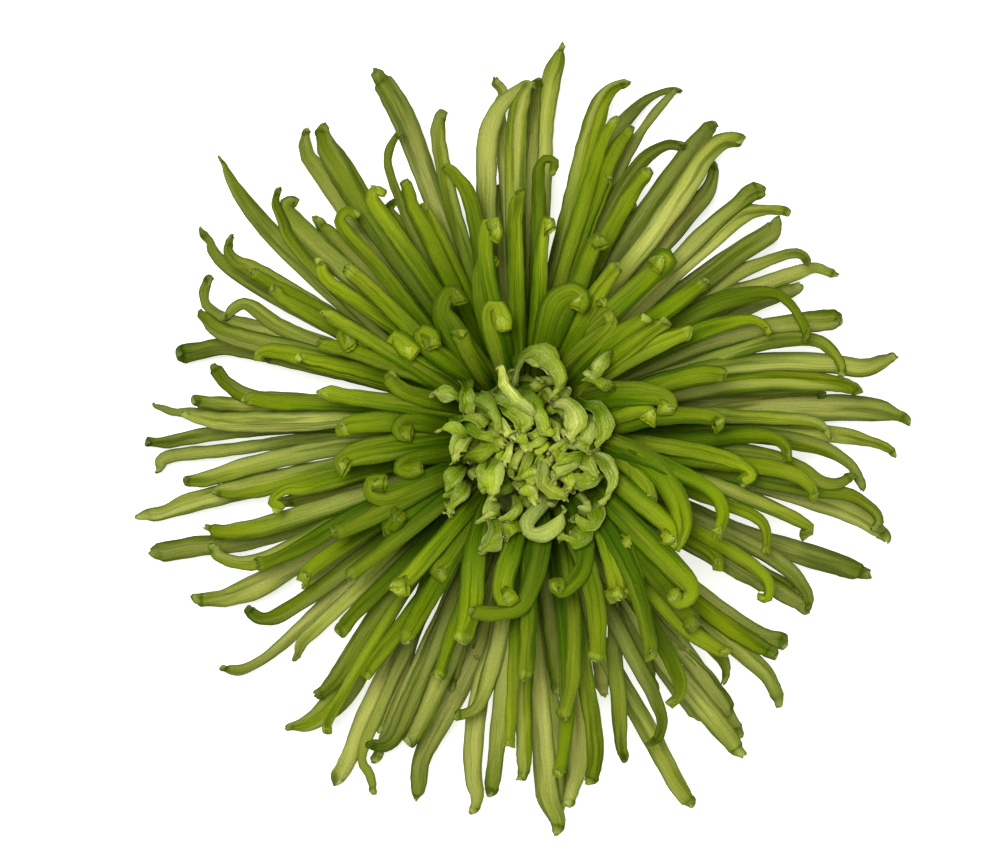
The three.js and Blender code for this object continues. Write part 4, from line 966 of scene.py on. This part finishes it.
# Turned forms, from the middle outwards and up: what the florets and bracts grow from, and the stem
turnedForms = {
    "receptacle_dome": {
        "node": "ray_florets", "slot": "floret_green", "skin": "receptacleSkin",
        "sides": 72, "ribs": 0, "ribDepth": 0,
        "main": (74, 92, 6), "deep": (46, 64, 0), "pale": (110, 126, 26), "grain": 0.4, "roughness": 0.65,
        "profile": [
            (6, 14.5), (11.5, 14.7), (13, 18), (12.6, 22), (11.4, 25), (9.4, 27), (5, 28.2), (0.5, 28.6)]},
    "crown_dome": {
        "node": "centre_florets", "slot": "crown_green", "skin": "crownDomeSkin",
        "sides": 60, "ribs": 0, "ribDepth": 0,
        # Painted shade: the dome is kept dark so the gaps between the top florets look deep
        "main": (52, 70, 2), "deep": (34, 50, 0), "pale": (84, 102, 12), "grain": 0.5, "roughness": 0.7,
        "profile": [(9.2, 26.6), (8.9, 27.8), (7.4, 29), (5, 29.9), (2.4, 30.4), (0.4, 30.5)]},
    "involucre_cup": {
        "node": "involucre", "slot": "bract_green", "skin": "cupSkin",
        "sides": 72, "ribs": 0, "ribDepth": 0,
        "main": (88, 116, 40), "deep": (62, 90, 22), "pale": (122, 142, 70), "grain": 0.5, "roughness": 0.65,
        "profile": [
            (2.6, 6.3), (4.4, 6.6), (7.2, 7.7), (9.4, 9.3), (10.7, 11.4), (11, 12.6), (10.4, 14.2),
            (9, 14.6)]},
    "stem_stub": {
        "node": "stem", "slot": "stem_green", "skin": "stemSkin",
        "sides": 96, "ribs": 8, "ribDepth": 0.045,
        "main": (104, 128, 58), "deep": (78, 104, 36), "pale": (146, 162, 98), "grain": 0.6, "roughness": 0.6,
        "profile": [(2.75, 0.5), (2.95, 0.62), (3.0, 1.2), (3.1, 3), (3.35, 4.6), (3.75, 6), (4.1, 6.8)]},
}


def greenMaterial(form):
    material, tree, shader = newMaterial(form["skin"])
    source = vectorOf(tree, "place")
    broad = noise(tree, source, form["grain"], 4.0)
    fine = noise(tree, source, form["grain"] * 7, 2.0)
    colour = ramp(tree, broad, [(0.34, form["deep"]), (0.52, form["main"]), (0.7, form["pale"])])
    colour = tinted(tree, colour, mapped(tree, fine, 0.4, 0.7, 0, 0.3), form["pale"])
    feed(tree, shader, "Base Color", colour)
    roughness = form["roughness"]
    feed(tree, shader, "Roughness", mapped(tree, fine, 0.3, 0.7, roughness - 0.1, roughness + 0.1))
    addBump(tree, shader, fine, 0.5, 0.0002)
    letLightIn(shader, 0.1, 0.001)
    return material


def turnedObject(name, form, profileSteps=6):
    profile = form["profile"]
    rows = curveThrough(profile, np.linspace(0, 1, profileSteps * (len(profile) - 1) + 1))
    around = np.linspace(0, 2 * math.pi, form["sides"], endpoint=False)[None, :]
    height = rows[:, 1:2] * np.ones_like(around)
    radius = rows[:, 0:1] * (1 + form["ribDepth"] * np.cos(form["ribs"] * around + 0.05 * height))
    points = np.stack([radius * np.cos(around), radius * np.sin(around), height], axis=-1)
    faces = tubeFaces(*points.shape[:2])
    points = points.reshape(-1, 3)
    return meshObject(name, points, faces, greenMaterial(form), {"place": points})


for name, form in turnedForms.items():
    settle(turnedObject(name, form), form["node"])
print("turned forms made")


# The pale florets of the crown. The small ones low down follow a spiral.
goldenAngle = 137.508
crownMesh = dict(
    floretMesh, archRows=22, curlRows=13, columns=34, wall=0.12, throat=0.5, ribs=(3.2, 5.6), ribDepth=0.22,
    channelWidth=0.6, crumple=0.34, gnarl=0.17)
eyeMesh = dict(crownMesh, archRows=14, curlRows=9, columns=24, crumple=0.2, gnarl=0.05)
lowTip = {"radius": 1.3, "turn": (95, 165), "tighten": 1.0, "lean": (-35, 45), "neck": 1.6, "share": 0.66,
          "flare": 0.2, "mouth": 0.9, "teeth": 3, "toothDepth": 0.12, "slant": 0.1, "lump": 0.16,
          "closing": 0.55}
eyeTip = dict(lowTip, radius=0.7, mouth=0.6)
crownRows = {
    "crown_florets": {
        "count": 46, "first": 0.5, "start": 0, "rootRadius": (0.8, 7.8), "reach": (2.6, 12),
        "width": (1.5, 2.3), "height": (2.2, 3.8), "shift": (0, -0.6), "tip": lowTip},
    "eye_florets": {
        "count": 24, "first": 0.7, "start": 61, "rootRadius": (0.1, 3.2), "reach": (0.6, 4.4),
        "width": (0.9, 1.5), "height": (1.8, 2.8), "shift": (0.6, -2.4), "tip": eyeTip},
}
lowFloret = {
    "dome": 3.2, "rootHeight": 27.6, "tipHeight": 27.3, "rootShare": 0.7, "thickness": 0.7, "widest": 0.7,
    "wave": 0.2, "widths": (0.85, 1.12), "heights": (0.85, 1.15), "sweep": (-6, 22), "arch": (0.2, 1.2),
    # Low tones are painted shade: these florets lie deep under the top ones
    "channel": (-0.3, 0.8), "cup": (-0.6, 0.6), "roll": (-40, 40), "tone": (0.1, 0.7),
}


def crownFloret(row, i, offset):
    form = lowFloret
    share = math.sqrt((i + row["first"]) / row["count"])  # 0 at the eye and 1 at the rim
    dome = form["dome"] * (1 - share * share)
    number = i * 3.7 + offset
    tip = dict(
        row["tip"], lean=lerp(*row["tip"]["lean"], draw(number + 0.1)),
        turn=lerp(*row["tip"]["turn"], draw(number + 0.2)))
    above = lerp(*row["height"], share) * lerp(*form["heights"], draw(number + 0.6))
    return {
        "azimuth": i * goldenAngle + row["start"], "sweep": lerp(*form["sweep"], draw(number + 0.4)),
        "rootRadius": lerp(*row["rootRadius"], share), "reach": lerp(*row["reach"], share),
        "rootHeight": form["rootHeight"] + dome * 0.6, "tipHeight": form["tipHeight"] + dome + above,
        "width": lerp(*row["width"], share) * lerp(*form["widths"], draw(number + 0.3)),
        "arch": lerp(*form["arch"], draw(number + 0.5)),
        "channel": lerp(*form["channel"], draw(number + 0.7)),
        "cup": lerp(*form["cup"], draw(number + 0.77)), "roll": lerp(*form["roll"], draw(number + 0.8)),
        "tone": lerp(*form["tone"], draw(number + 0.9)), "pale": draw(number + 0.95),
        "rootShare": form["rootShare"], "thickness": form["thickness"], "widest": form["widest"],
        "wave": form["wave"], "shift": row["shift"], "number": number, "tip": tip,
    }


for offset, (name, row) in enumerate(crownRows.items()):
    florets = [crownFloret(row, i, offset) for i in range(row["count"])]
    settle(bladesObject(name, florets, crownMaterial, eyeMesh), "centre_florets")


# The ones on top, each along points from its root end: across, up, height and width
crownPaths = [
    # the great hook and what stands round it
    [(-1.8, 8.4, 31.6, 0.9), (-1.4, 11.4, 33.8, 1.2), (-0.2, 13.8, 35.8, 1.6), (1.7, 14.6, 37, 2.6),
     (3.7, 13.8, 37.4, 3.4), (5.2, 11.8, 36.9, 2.3), (5.9, 9.8, 36.4, 2.7), (5.4, 8.2, 35.6, 2.1),
     (4.9, 6.7, 34.8, 1.1)],
    [(0.1, 13.4, 35.6, 1.5), (2.1, 12.6, 36.9, 2.1), (4.1, 11.2, 36.4, 1.2)],
    [(1.4, 4.1, 36.6, 1.3), (0, 5.4, 37.6, 2.3), (-1.9, 6.9, 38.1, 2.6), (-3.3, 8.9, 38, 1.7),
     (-4.1, 11.1, 37.4, 0.5)],
    [(-5.8, 6.7, 35, 1.2), (-3.3, 5.8, 36.4, 1.7), (-1.1, 4.3, 37, 2), (0.2, 2.8, 36.9, 2.2),
     (0.5, 1.3, 35.8, 1.3)],
    [(0.1, 7.7, 34.2, 1.7), (1.9, 5.8, 35.5, 2.3), (2.7, 3.4, 36.4, 2.3), (3.5, 1.4, 36.4, 2.1),
     (5.3, 0.3, 35.5, 1.5)],
    # right of the eye
    [(5, 5.7, 34, 1.4), (7.2, 5.3, 36, 2.8), (8.4, 3.6, 37, 3.3), (8.1, 1.8, 37, 3.1), (7.2, 0.2, 35.9, 1.8)],
    [(9.4, 5.5, 32.4, 1.8), (12, 4.7, 34.2, 2.7), (13, 2.7, 35.2, 2.9), (12.9, 0.6, 35.2, 2.4),
     (12.2, -1.5, 34.2, 1)],
    [(10.9, 3, 33.8, 1.6), (10.8, 1.5, 35.3, 2.5), (10.2, 0, 35.8, 2.5), (9.4, -1.2, 35, 1.4)],
    [(11.2, -1.9, 33.4, 1.4), (9.7, -1.6, 35, 1.9), (8.2, -1.4, 34.8, 1.3)],
    [(8, -0.2, 33.6, 1.5), (6.8, -1.2, 34.8, 2.2), (5.6, -2.2, 35, 2), (4.7, -3, 34.2, 1)],
    [(9.8, -3.2, 33.5, 1.7), (7.8, -3.3, 35.1, 2.3), (6, -3.5, 35.8, 2.3), (4.7, -3, 35.2, 1.3)],
    [(9.4, -4.4, 33.6, 1.7), (7.4, -5, 35.2, 2.1), (5.6, -5.9, 36, 2), (4.2, -6.8, 35.4, 1.2)],
    [(6.6, -5.6, 33, 1.7), (7, -6.8, 34.9, 2.3), (7, -8, 34.2, 1.4)],
    [(10.4, -3, 33.2, 1.9), (11, -4.6, 34.9, 2.4), (11, -6.3, 35.1, 1.8)],
    [(12.5, -6.2, 34.2, 1.5), (11.5, -7.1, 35.8, 2.8), (10, -7.6, 36, 2.7), (8.6, -7.6, 35, 1.4)],
    [(10.8, -2.6, 33, 1.9), (13, -3.9, 35, 2.5), (14.3, -6, 36.2, 2.4), (14.1, -8.6, 36.2, 2),
     (13, -11.1, 35, 1.1)],
    # below it
    [(3.2, -4.3, 34.8, 1.6), (2.8, -6.2, 36.2, 2.1), (3.3, -8.2, 36.2, 2.5), (5, -9.3, 35.5, 2.2),
     (6.7, -9.5, 34.3, 1.2)],
    [(1.4, -4.4, 34.2, 1.3), (1, -6, 36, 2.1), (1.3, -7.8, 35, 1.3)],
    [(0.4, -7.4, 33.4, 1.5), (0.5, -8.8, 35, 2.3), (1.3, -10.3, 34.2, 1.3)],
    [(-4.5, -3.3, 34.4, 1.7), (-4.9, -5.2, 36.6, 2.8), (-5.2, -7.2, 37.3, 3), (-5.5, -9, 36.4, 2.1),
     (-5.8, -10, 35, 0.9)],
    [(-6.2, -3.5, 33.8, 1.3), (-7.1, -5.4, 35.4, 1.8), (-7, -7.4, 35.6, 1.7), (-6.3, -9, 34.4, 1)],
    [(3.2, -10.4, 32.4, 2.4), (1.4, -12.6, 34.8, 3), (0.3, -14.7, 36, 2.8), (1.6, -16.2, 36.4, 2.4),
     (4, -15.6, 36.2, 2), (5.7, -13.8, 35.4, 1.7), (6.1, -12, 34.4, 1.2)],
    [(-1.6, -10.3, 33.6, 0.8), (-1.2, -12, 35.3, 2.2), (-2.4, -13.6, 35.5, 2), (-3.3, -14.1, 34.8, 1)],
    [(-0.9, -14.6, 33.6, 1.6), (-2.3, -15.4, 35.4, 2.2), (-3.7, -16.1, 34.6, 1.3)],
    [(-4.8, -11.2, 33.6, 2.2), (-5.8, -12.3, 35.8, 3), (-6, -14, 35.2, 2.2)],
    [(-5.4, -13.6, 34.2, 2.2), (-5.2, -15.6, 36, 3.2), (-5.8, -17.5, 35.9, 2.9), (-6.9, -19.1, 34.6, 1.1)],
    [(11.2, -10.8, 32.8, 2.2), (12, -13.1, 35.2, 2.6), (11, -14.9, 35.6, 2), (8.3, -14, 34.8, 0.8)],
    [(9.3, -10, 33.4, 1.2), (10.4, -11.2, 35, 1.6), (10.2, -12.7, 34.4, 1)],
    [(8.8, -14.6, 33.4, 1.9), (9.5, -16.3, 35.4, 3), (8.5, -17.4, 35.5, 2.5), (6.1, -16.6, 34.4, 0.8)],
    # left of it
    [(-9.2, 0.3, 33.4, 1.6), (-10.7, -0.8, 35.4, 2.8), (-11.6, -2.2, 35.4, 2.5), (-11.4, -3.6, 34.2, 1.3)],
    [(-9.9, -3.5, 33.4, 1.4), (-8, -3, 35.5, 2.4), (-6.4, -2.2, 36.4, 2.5), (-5.3, -1.1, 35.5, 1.4)],
    [(-10, 2, 34.4, 1.3), (-8, 0.8, 36.1, 1.9), (-6.2, 0, 36.8, 1.8), (-4.2, -0.5, 35.8, 1)],
    [(-11.9, 2.9, 33.8, 1.1), (-9.8, 3.2, 35.8, 1.8), (-7.9, 2.8, 36.4, 2), (-7, 2, 35.6, 1.3)],
    [(-9.8, 0.1, 34.6, 1.2), (-11, 1.1, 35.7, 1.8), (-12.6, 1.5, 35.5, 1.6), (-14.4, 1.2, 34.4, 0.7)],
    [(-8.8, 6.5, 34, 1.8), (-7.2, 6, 36.3, 2.6), (-5.6, 5, 37, 2.3), (-5, 2.8, 37.2, 1.9),
     (-4.1, 0.6, 36.4, 1.2)],
    [(-4.3, 2.6, 35.8, 1.3), (-3, 1.1, 36.7, 2), (-1.7, -0.2, 35.8, 1.1)],
    [(-3.8, 5, 35.2, 1.3), (-2.6, 3.8, 36.3, 2), (-1.4, 2.6, 36.3, 1.8), (-0.6, 1.6, 35.4, 1.1)],
    [(-9.9, 9, 33.2, 2.2), (-9.6, 7.5, 35.6, 2.8), (-9.9, 5.8, 36.2, 2.5), (-10.1, 4.1, 35, 1.1)],
    [(-11, 6.7, 34.6, 1.7), (-13.2, 7.2, 35.4, 2.4), (-15, 7.6, 34.2, 1)],
    [(-10.3, -5.3, 33, 1.3), (-11.7, -6.6, 35.2, 2.5), (-12.5, -8.2, 35.1, 2.3), (-12, -9.4, 34, 1.1)],
    [(-9.7, -8.1, 33.6, 1.9), (-10.7, -9.4, 35.5, 2.9), (-11.8, -10.7, 35.2, 2.4), (-12.9, -12.1, 34, 0.8)],
    # ends of long florets that fold back beside it
    [(14, 14, 34.4, 1.6), (12.9, 12.7, 36, 2), (11.8, 10.9, 36, 1.8), (10.9, 9.7, 35.2, 0.9)],
    [(14.6, 8.3, 34, 1.5), (12.6, 9, 35.5, 1.6), (10.4, 9.5, 34.8, 0.9)],
]

# The small ones over the eye, the same way
eyePaths = [
    [(-1, 1, 34.8, 1.3), (-0.5, -0.4, 35.7, 1.6), (-0.1, -1.8, 34.9, 0.9)],
    [(3.4, -0.2, 34.6, 1), (2, -0.9, 35.7, 1.4), (0.3, -1.8, 35, 1)],
    [(3.7, -1.2, 34.4, 0.9), (2.8, -2, 35.3, 1.2), (1.9, -2.8, 34.7, 0.8)],
    [(2.4, 1.1, 34.6, 1), (1.5, 0.4, 35.2, 1.2), (0.7, 0, 34.6, 0.8)],
    [(-2.6, -1.1, 34.8, 1.1), (-2.7, -2.7, 35.8, 1.6), (-3.5, -4.3, 34.9, 1.3)],
    [(-0.5, -2.3, 34.9, 1), (-1.4, -3.6, 35.8, 1.6), (-2.1, -5.2, 34.9, 1.2)],
    [(1.1, -2.5, 34.8, 0.9), (0.4, -3.9, 35.9, 1.5), (-0.3, -5.5, 35.6, 1.6), (-1.1, -7.2, 34.2, 1.1)],
    [(3, -2.9, 34.2, 0.9), (2.4, -3.8, 35.1, 1.3), (1.9, -5, 34.4, 0.9)],
    [(-3.9, -1.9, 34.4, 0.9), (-4.4, -3, 35.2, 1.4), (-5, -4.2, 34.5, 1)],
    [(4.4, -4, 34, 1), (3.6, -4.4, 34.8, 1.2), (2.6, -4.4, 34.4, 0.8)],
]

# How the ones on top end: turned down and rounded, or lying out with a ragged edge
crownEnds = [
    {"radius": -1.5, "turn": -70, "tighten": 1.0, "lean": 0, "flare": 0.06, "mouth": 1.2,
     "teeth": 3, "toothDepth": 0.24, "slant": 0.1, "lump": 0.22, "closing": 0.6},
    {"radius": 2.8, "turn": 36, "tighten": 1.0, "lean": 0, "flare": 0.14, "mouth": 0.8,
     "teeth": 5, "toothDepth": 0.55, "slant": 0.14, "lump": 0.3, "closing": 0.4},
]
topFloret = {
    "widths": 1.04,                  # multiplies the listed ones
    "leastWidth": 0.45,              # share of the largest
    "rootBack": 0.3,                 # how far its root lies behind the first point, of the way to the second
    "rootBelow": 4,
    "rootShare": 0.8,
    "curlShare": 0.6,                # of the curl's length that the listed points include
    "thickness": 0.85,
    "knuckle": 0.2,
    "knuckles": (1.1, 2.0),
    "channel": (-0.1, 0.8),
    "roll": (-38, 38),
    "cup": (-0.6, 0.7),
    "tone": (0.6, 1),
    "toneFall": ((6, 15), (1, 0.5)),  # the ones farther from the eye are greener
}


def pathFloret(listed):  # it rises from the dome to the first of its points
    form = topFloret
    rows = np.array(listed, dtype=float)
    number = abs(rows[1, 0]) * 7.3 + abs(rows[1, 1]) * 3.1  # its own, from where it lies
    tip = variedTip(crownEnds[int(len(crownEnds) * draw(number + 0.35))], number)
    rows[:, 0], rows[:, 1] = fromView(rows[:, 0], rows[:, 1], rows[:, 2])
    rows[:, 3] = form["widths"] * np.maximum(rows[:, 3], form["leastWidth"] * rows[:, 3].max())
    root = rows[0] - form["rootBack"] * (rows[1] - rows[0])
    root[2:] = (rows[0, 2] - form["rootBelow"], rows[0, 3] * form["rootShare"])
    rows = np.concatenate([[root], rows])
    fall = float(np.interp(math.hypot(*rows[1, :2]), *form["toneFall"]))
    return {
        "line": lineThrough(rows, curlLine(tip)[1].max() * form["curlShare"]),
        "tip": tip, "number": number, "thickness": form["thickness"], "knuckle": form["knuckle"],
        "channel": lerp(*form["channel"], draw(number + 0.4)),
        "roll": lerp(*form["roll"], draw(number + 0.5)),
        "tone": lerp(*form["tone"], draw(number + 0.6)) * fall,
        "pale": draw(number + 0.66),
        "knuckles": lerp(*form["knuckles"], draw(number + 0.8)),
        "cup": lerp(*form["cup"], draw(number + 0.9)),
    }


for name, paths, mesh in (("crown_tops", crownPaths, crownMesh), ("eye_tops", eyePaths, eyeMesh)):
    florets = [pathFloret(path) for path in paths]
    settle(bladesObject(name, florets, crownMaterial, mesh), "centre_florets")
print("crown made")


# Bracts of the cup, overlapping like tiles, with papery edges
bractTip = {"radius": 0.9, "turn": 40, "tighten": 1.0, "lean": 0, "share": 0.15, "flare": 0, "mouth": 0.2,
            "teeth": 1, "toothDepth": 0, "slant": 0, "lump": 0, "closing": 0, "neck": 1.9}
bractForm = {"width": 5.0, "thickness": 0.3, "rootShare": 0.5, "widest": 0.6, "sweep": 0, "cup": 0,
             "channel": 0, "wave": 0, "pale": 0, "tip": bractTip}
bractRows = [
    {"count": 11, "rootRadius": 3.6, "rootHeight": 7.4, "reach": 11.4, "tipHeight": 10.2, "arch": -1.8},
    {"count": 13, "rootRadius": 5.4, "rootHeight": 8.4, "reach": 12.4, "tipHeight": 11.8, "arch": -1.6},
    {"count": 13, "rootRadius": 7, "rootHeight": 9.4, "reach": 13.2, "tipHeight": 13.2, "arch": -1.4},
    {"count": 15, "rootRadius": 8.6, "rootHeight": 10.8, "reach": 13.6, "tipHeight": 14.8, "arch": -1.1},
]
bractMesh = dict(
    floretMesh, archRows=14, curlRows=6, throatRows=2, columns=16, wall=0.02, ribDepth=0.06, crumple=0.03,
    gnarl=0.02)
bractLook = {
    "skin": [(0.34, (58, 86, 22)), (0.52, (88, 116, 38)), (0.7, (122, 144, 66))],
    "midrib": ((52, 78, 22), 0.55),
    "margin": ((178, 160, 112), 0.85),
    "tones": (0.84, 1.16),
    "roughness": (0.5, 0.7),
}


def bractMaterial(look):
    material, tree, shader = newMaterial("bractSkin")
    grain = vectorOf(tree, "grain")
    across = mathNode(tree, "ABSOLUTE", separated(tree, vectorOf(tree, "place"))[1])
    bractTone = separated(tree, vectorOf(tree, "tone"))[0]
    streak = streakNoise(tree, grain, 1.6, 0.12)
    colour = ramp(tree, streak, look["skin"])
    tint, share = look["midrib"]
    colour = tinted(tree, colour, mapped(tree, across, 0.0, 0.16, share, 0), tint)
    tint, share = look["margin"]
    frayed = mathNode(tree, "ADD", across, mapped(tree, streak, 0.3, 0.7, -0.06, 0.06))
    colour = tinted(tree, colour, mapped(tree, frayed, 0.76, 0.9, 0, share), tint)
    brightness = mapped(tree, bractTone, 0, 1, *look["tones"])
    feed(tree, shader, "Base Color", brightened(tree, colour, brightness))
    fine = streakNoise(tree, grain, 5.0, 0.6, 2.0)
    feed(tree, shader, "Roughness", mapped(tree, fine, 0.3, 0.7, *look["roughness"]))
    addBump(tree, shader, fine, 0.5, 0.0002)
    return material


def bract(row, i, level):
    number = level * 31 + i + 0.5
    azimuth = 360 * (i + level / 2) / row["count"] + lerp(-3, 3, draw(number))
    return {
        **bractForm, **row, "azimuth": azimuth, "number": number,
        "roll": lerp(-6, 6, draw(number + 0.2)), "tone": draw(number + 0.4),
    }


bracts = [bract(row, i, level) for level, row in enumerate(bractRows) for i in range(row["count"])]
bractPiece = bladesObject("involucre_bracts", bracts, bractMaterial(bractLook), bractMesh)
settle(bractPiece, "involucre")
print("bracts made")


# Floor, light and camera
studio = {
    "floorSize": 2.4, "floorWhite": 0.8, "floorGlow": 0.62, "sky": 0.29, "sensorWidth": 36, "farthest": 10,
    "keyLight": {"place": (-0.2, 0.22, 1.35), "size": 0.6, "power": 20},
    "fillLight": {"place": (0.7, -0.6, 0.9), "size": 0.8, "power": 3.5},
}


def makeFloor():
    half, white = studio["floorSize"] / 2, studio["floorWhite"]
    corners = [(-half, -half, 0), (half, -half, 0), (half, half, 0), (-half, half, 0)]
    data = bpy.data.meshes.new("floor")
    data.from_pydata(corners, [], [(0, 1, 2, 3)])
    material, _, shader = newMaterial("floorPaint")
    shader.inputs["Base Color"].default_value = (white, white, white, 1)
    shader.inputs["Roughness"].default_value = 0.7
    shader.inputs["Emission Color"].default_value = (1, 1, 1, 1)
    shader.inputs["Emission Strength"].default_value = studio["floorGlow"]
    data.materials.append(material)
    floor = bpy.data.objects.new("floor", data)
    bpy.context.scene.collection.objects.link(floor)


def softbox(name):
    data = bpy.data.lights.new(name, "AREA")
    data.shape = "DISK"
    data.size = studio[name]["size"]
    data.energy = studio[name]["power"]
    lamp = bpy.data.objects.new(name, data)
    lamp.location = studio[name]["place"]
    towards = -lamp.location
    lamp.rotation_mode = "QUATERNION"
    lamp.rotation_quaternion = towards.to_track_quat("-Z", "Y")
    bpy.context.scene.collection.objects.link(lamp)


makeFloor()
softbox("keyLight")
softbox("fillLight")
world = bpy.data.worlds.new("studioRoom")
world.use_nodes = True
world.node_tree.nodes["Background"].inputs[0].default_value = (1, 1, 1, 1)
world.node_tree.nodes["Background"].inputs[1].default_value = studio["sky"]
bpy.context.scene.world = world
bpy.context.scene.view_settings.view_transform = "Standard"

# Straight down over the flower, a little up and to the left of its axis
cameraData = bpy.data.cameras.new("camera")
cameraData.sensor_width = studio["sensorWidth"]
cameraData.lens = studio["sensorWidth"] * (view["height"] - view["aimHeight"]) / view["frameWidth"]
cameraData.clip_end = studio["farthest"]
camera = bpy.data.objects.new("camera", cameraData)
asideX, asideY = view["aside"]
camera.location = flowerAxis + np.array([asideX, asideY, view["height"]]) * millimetre
bpy.context.scene.collection.objects.link(camera)
bpy.context.scene.camera = camera
print("studio made")
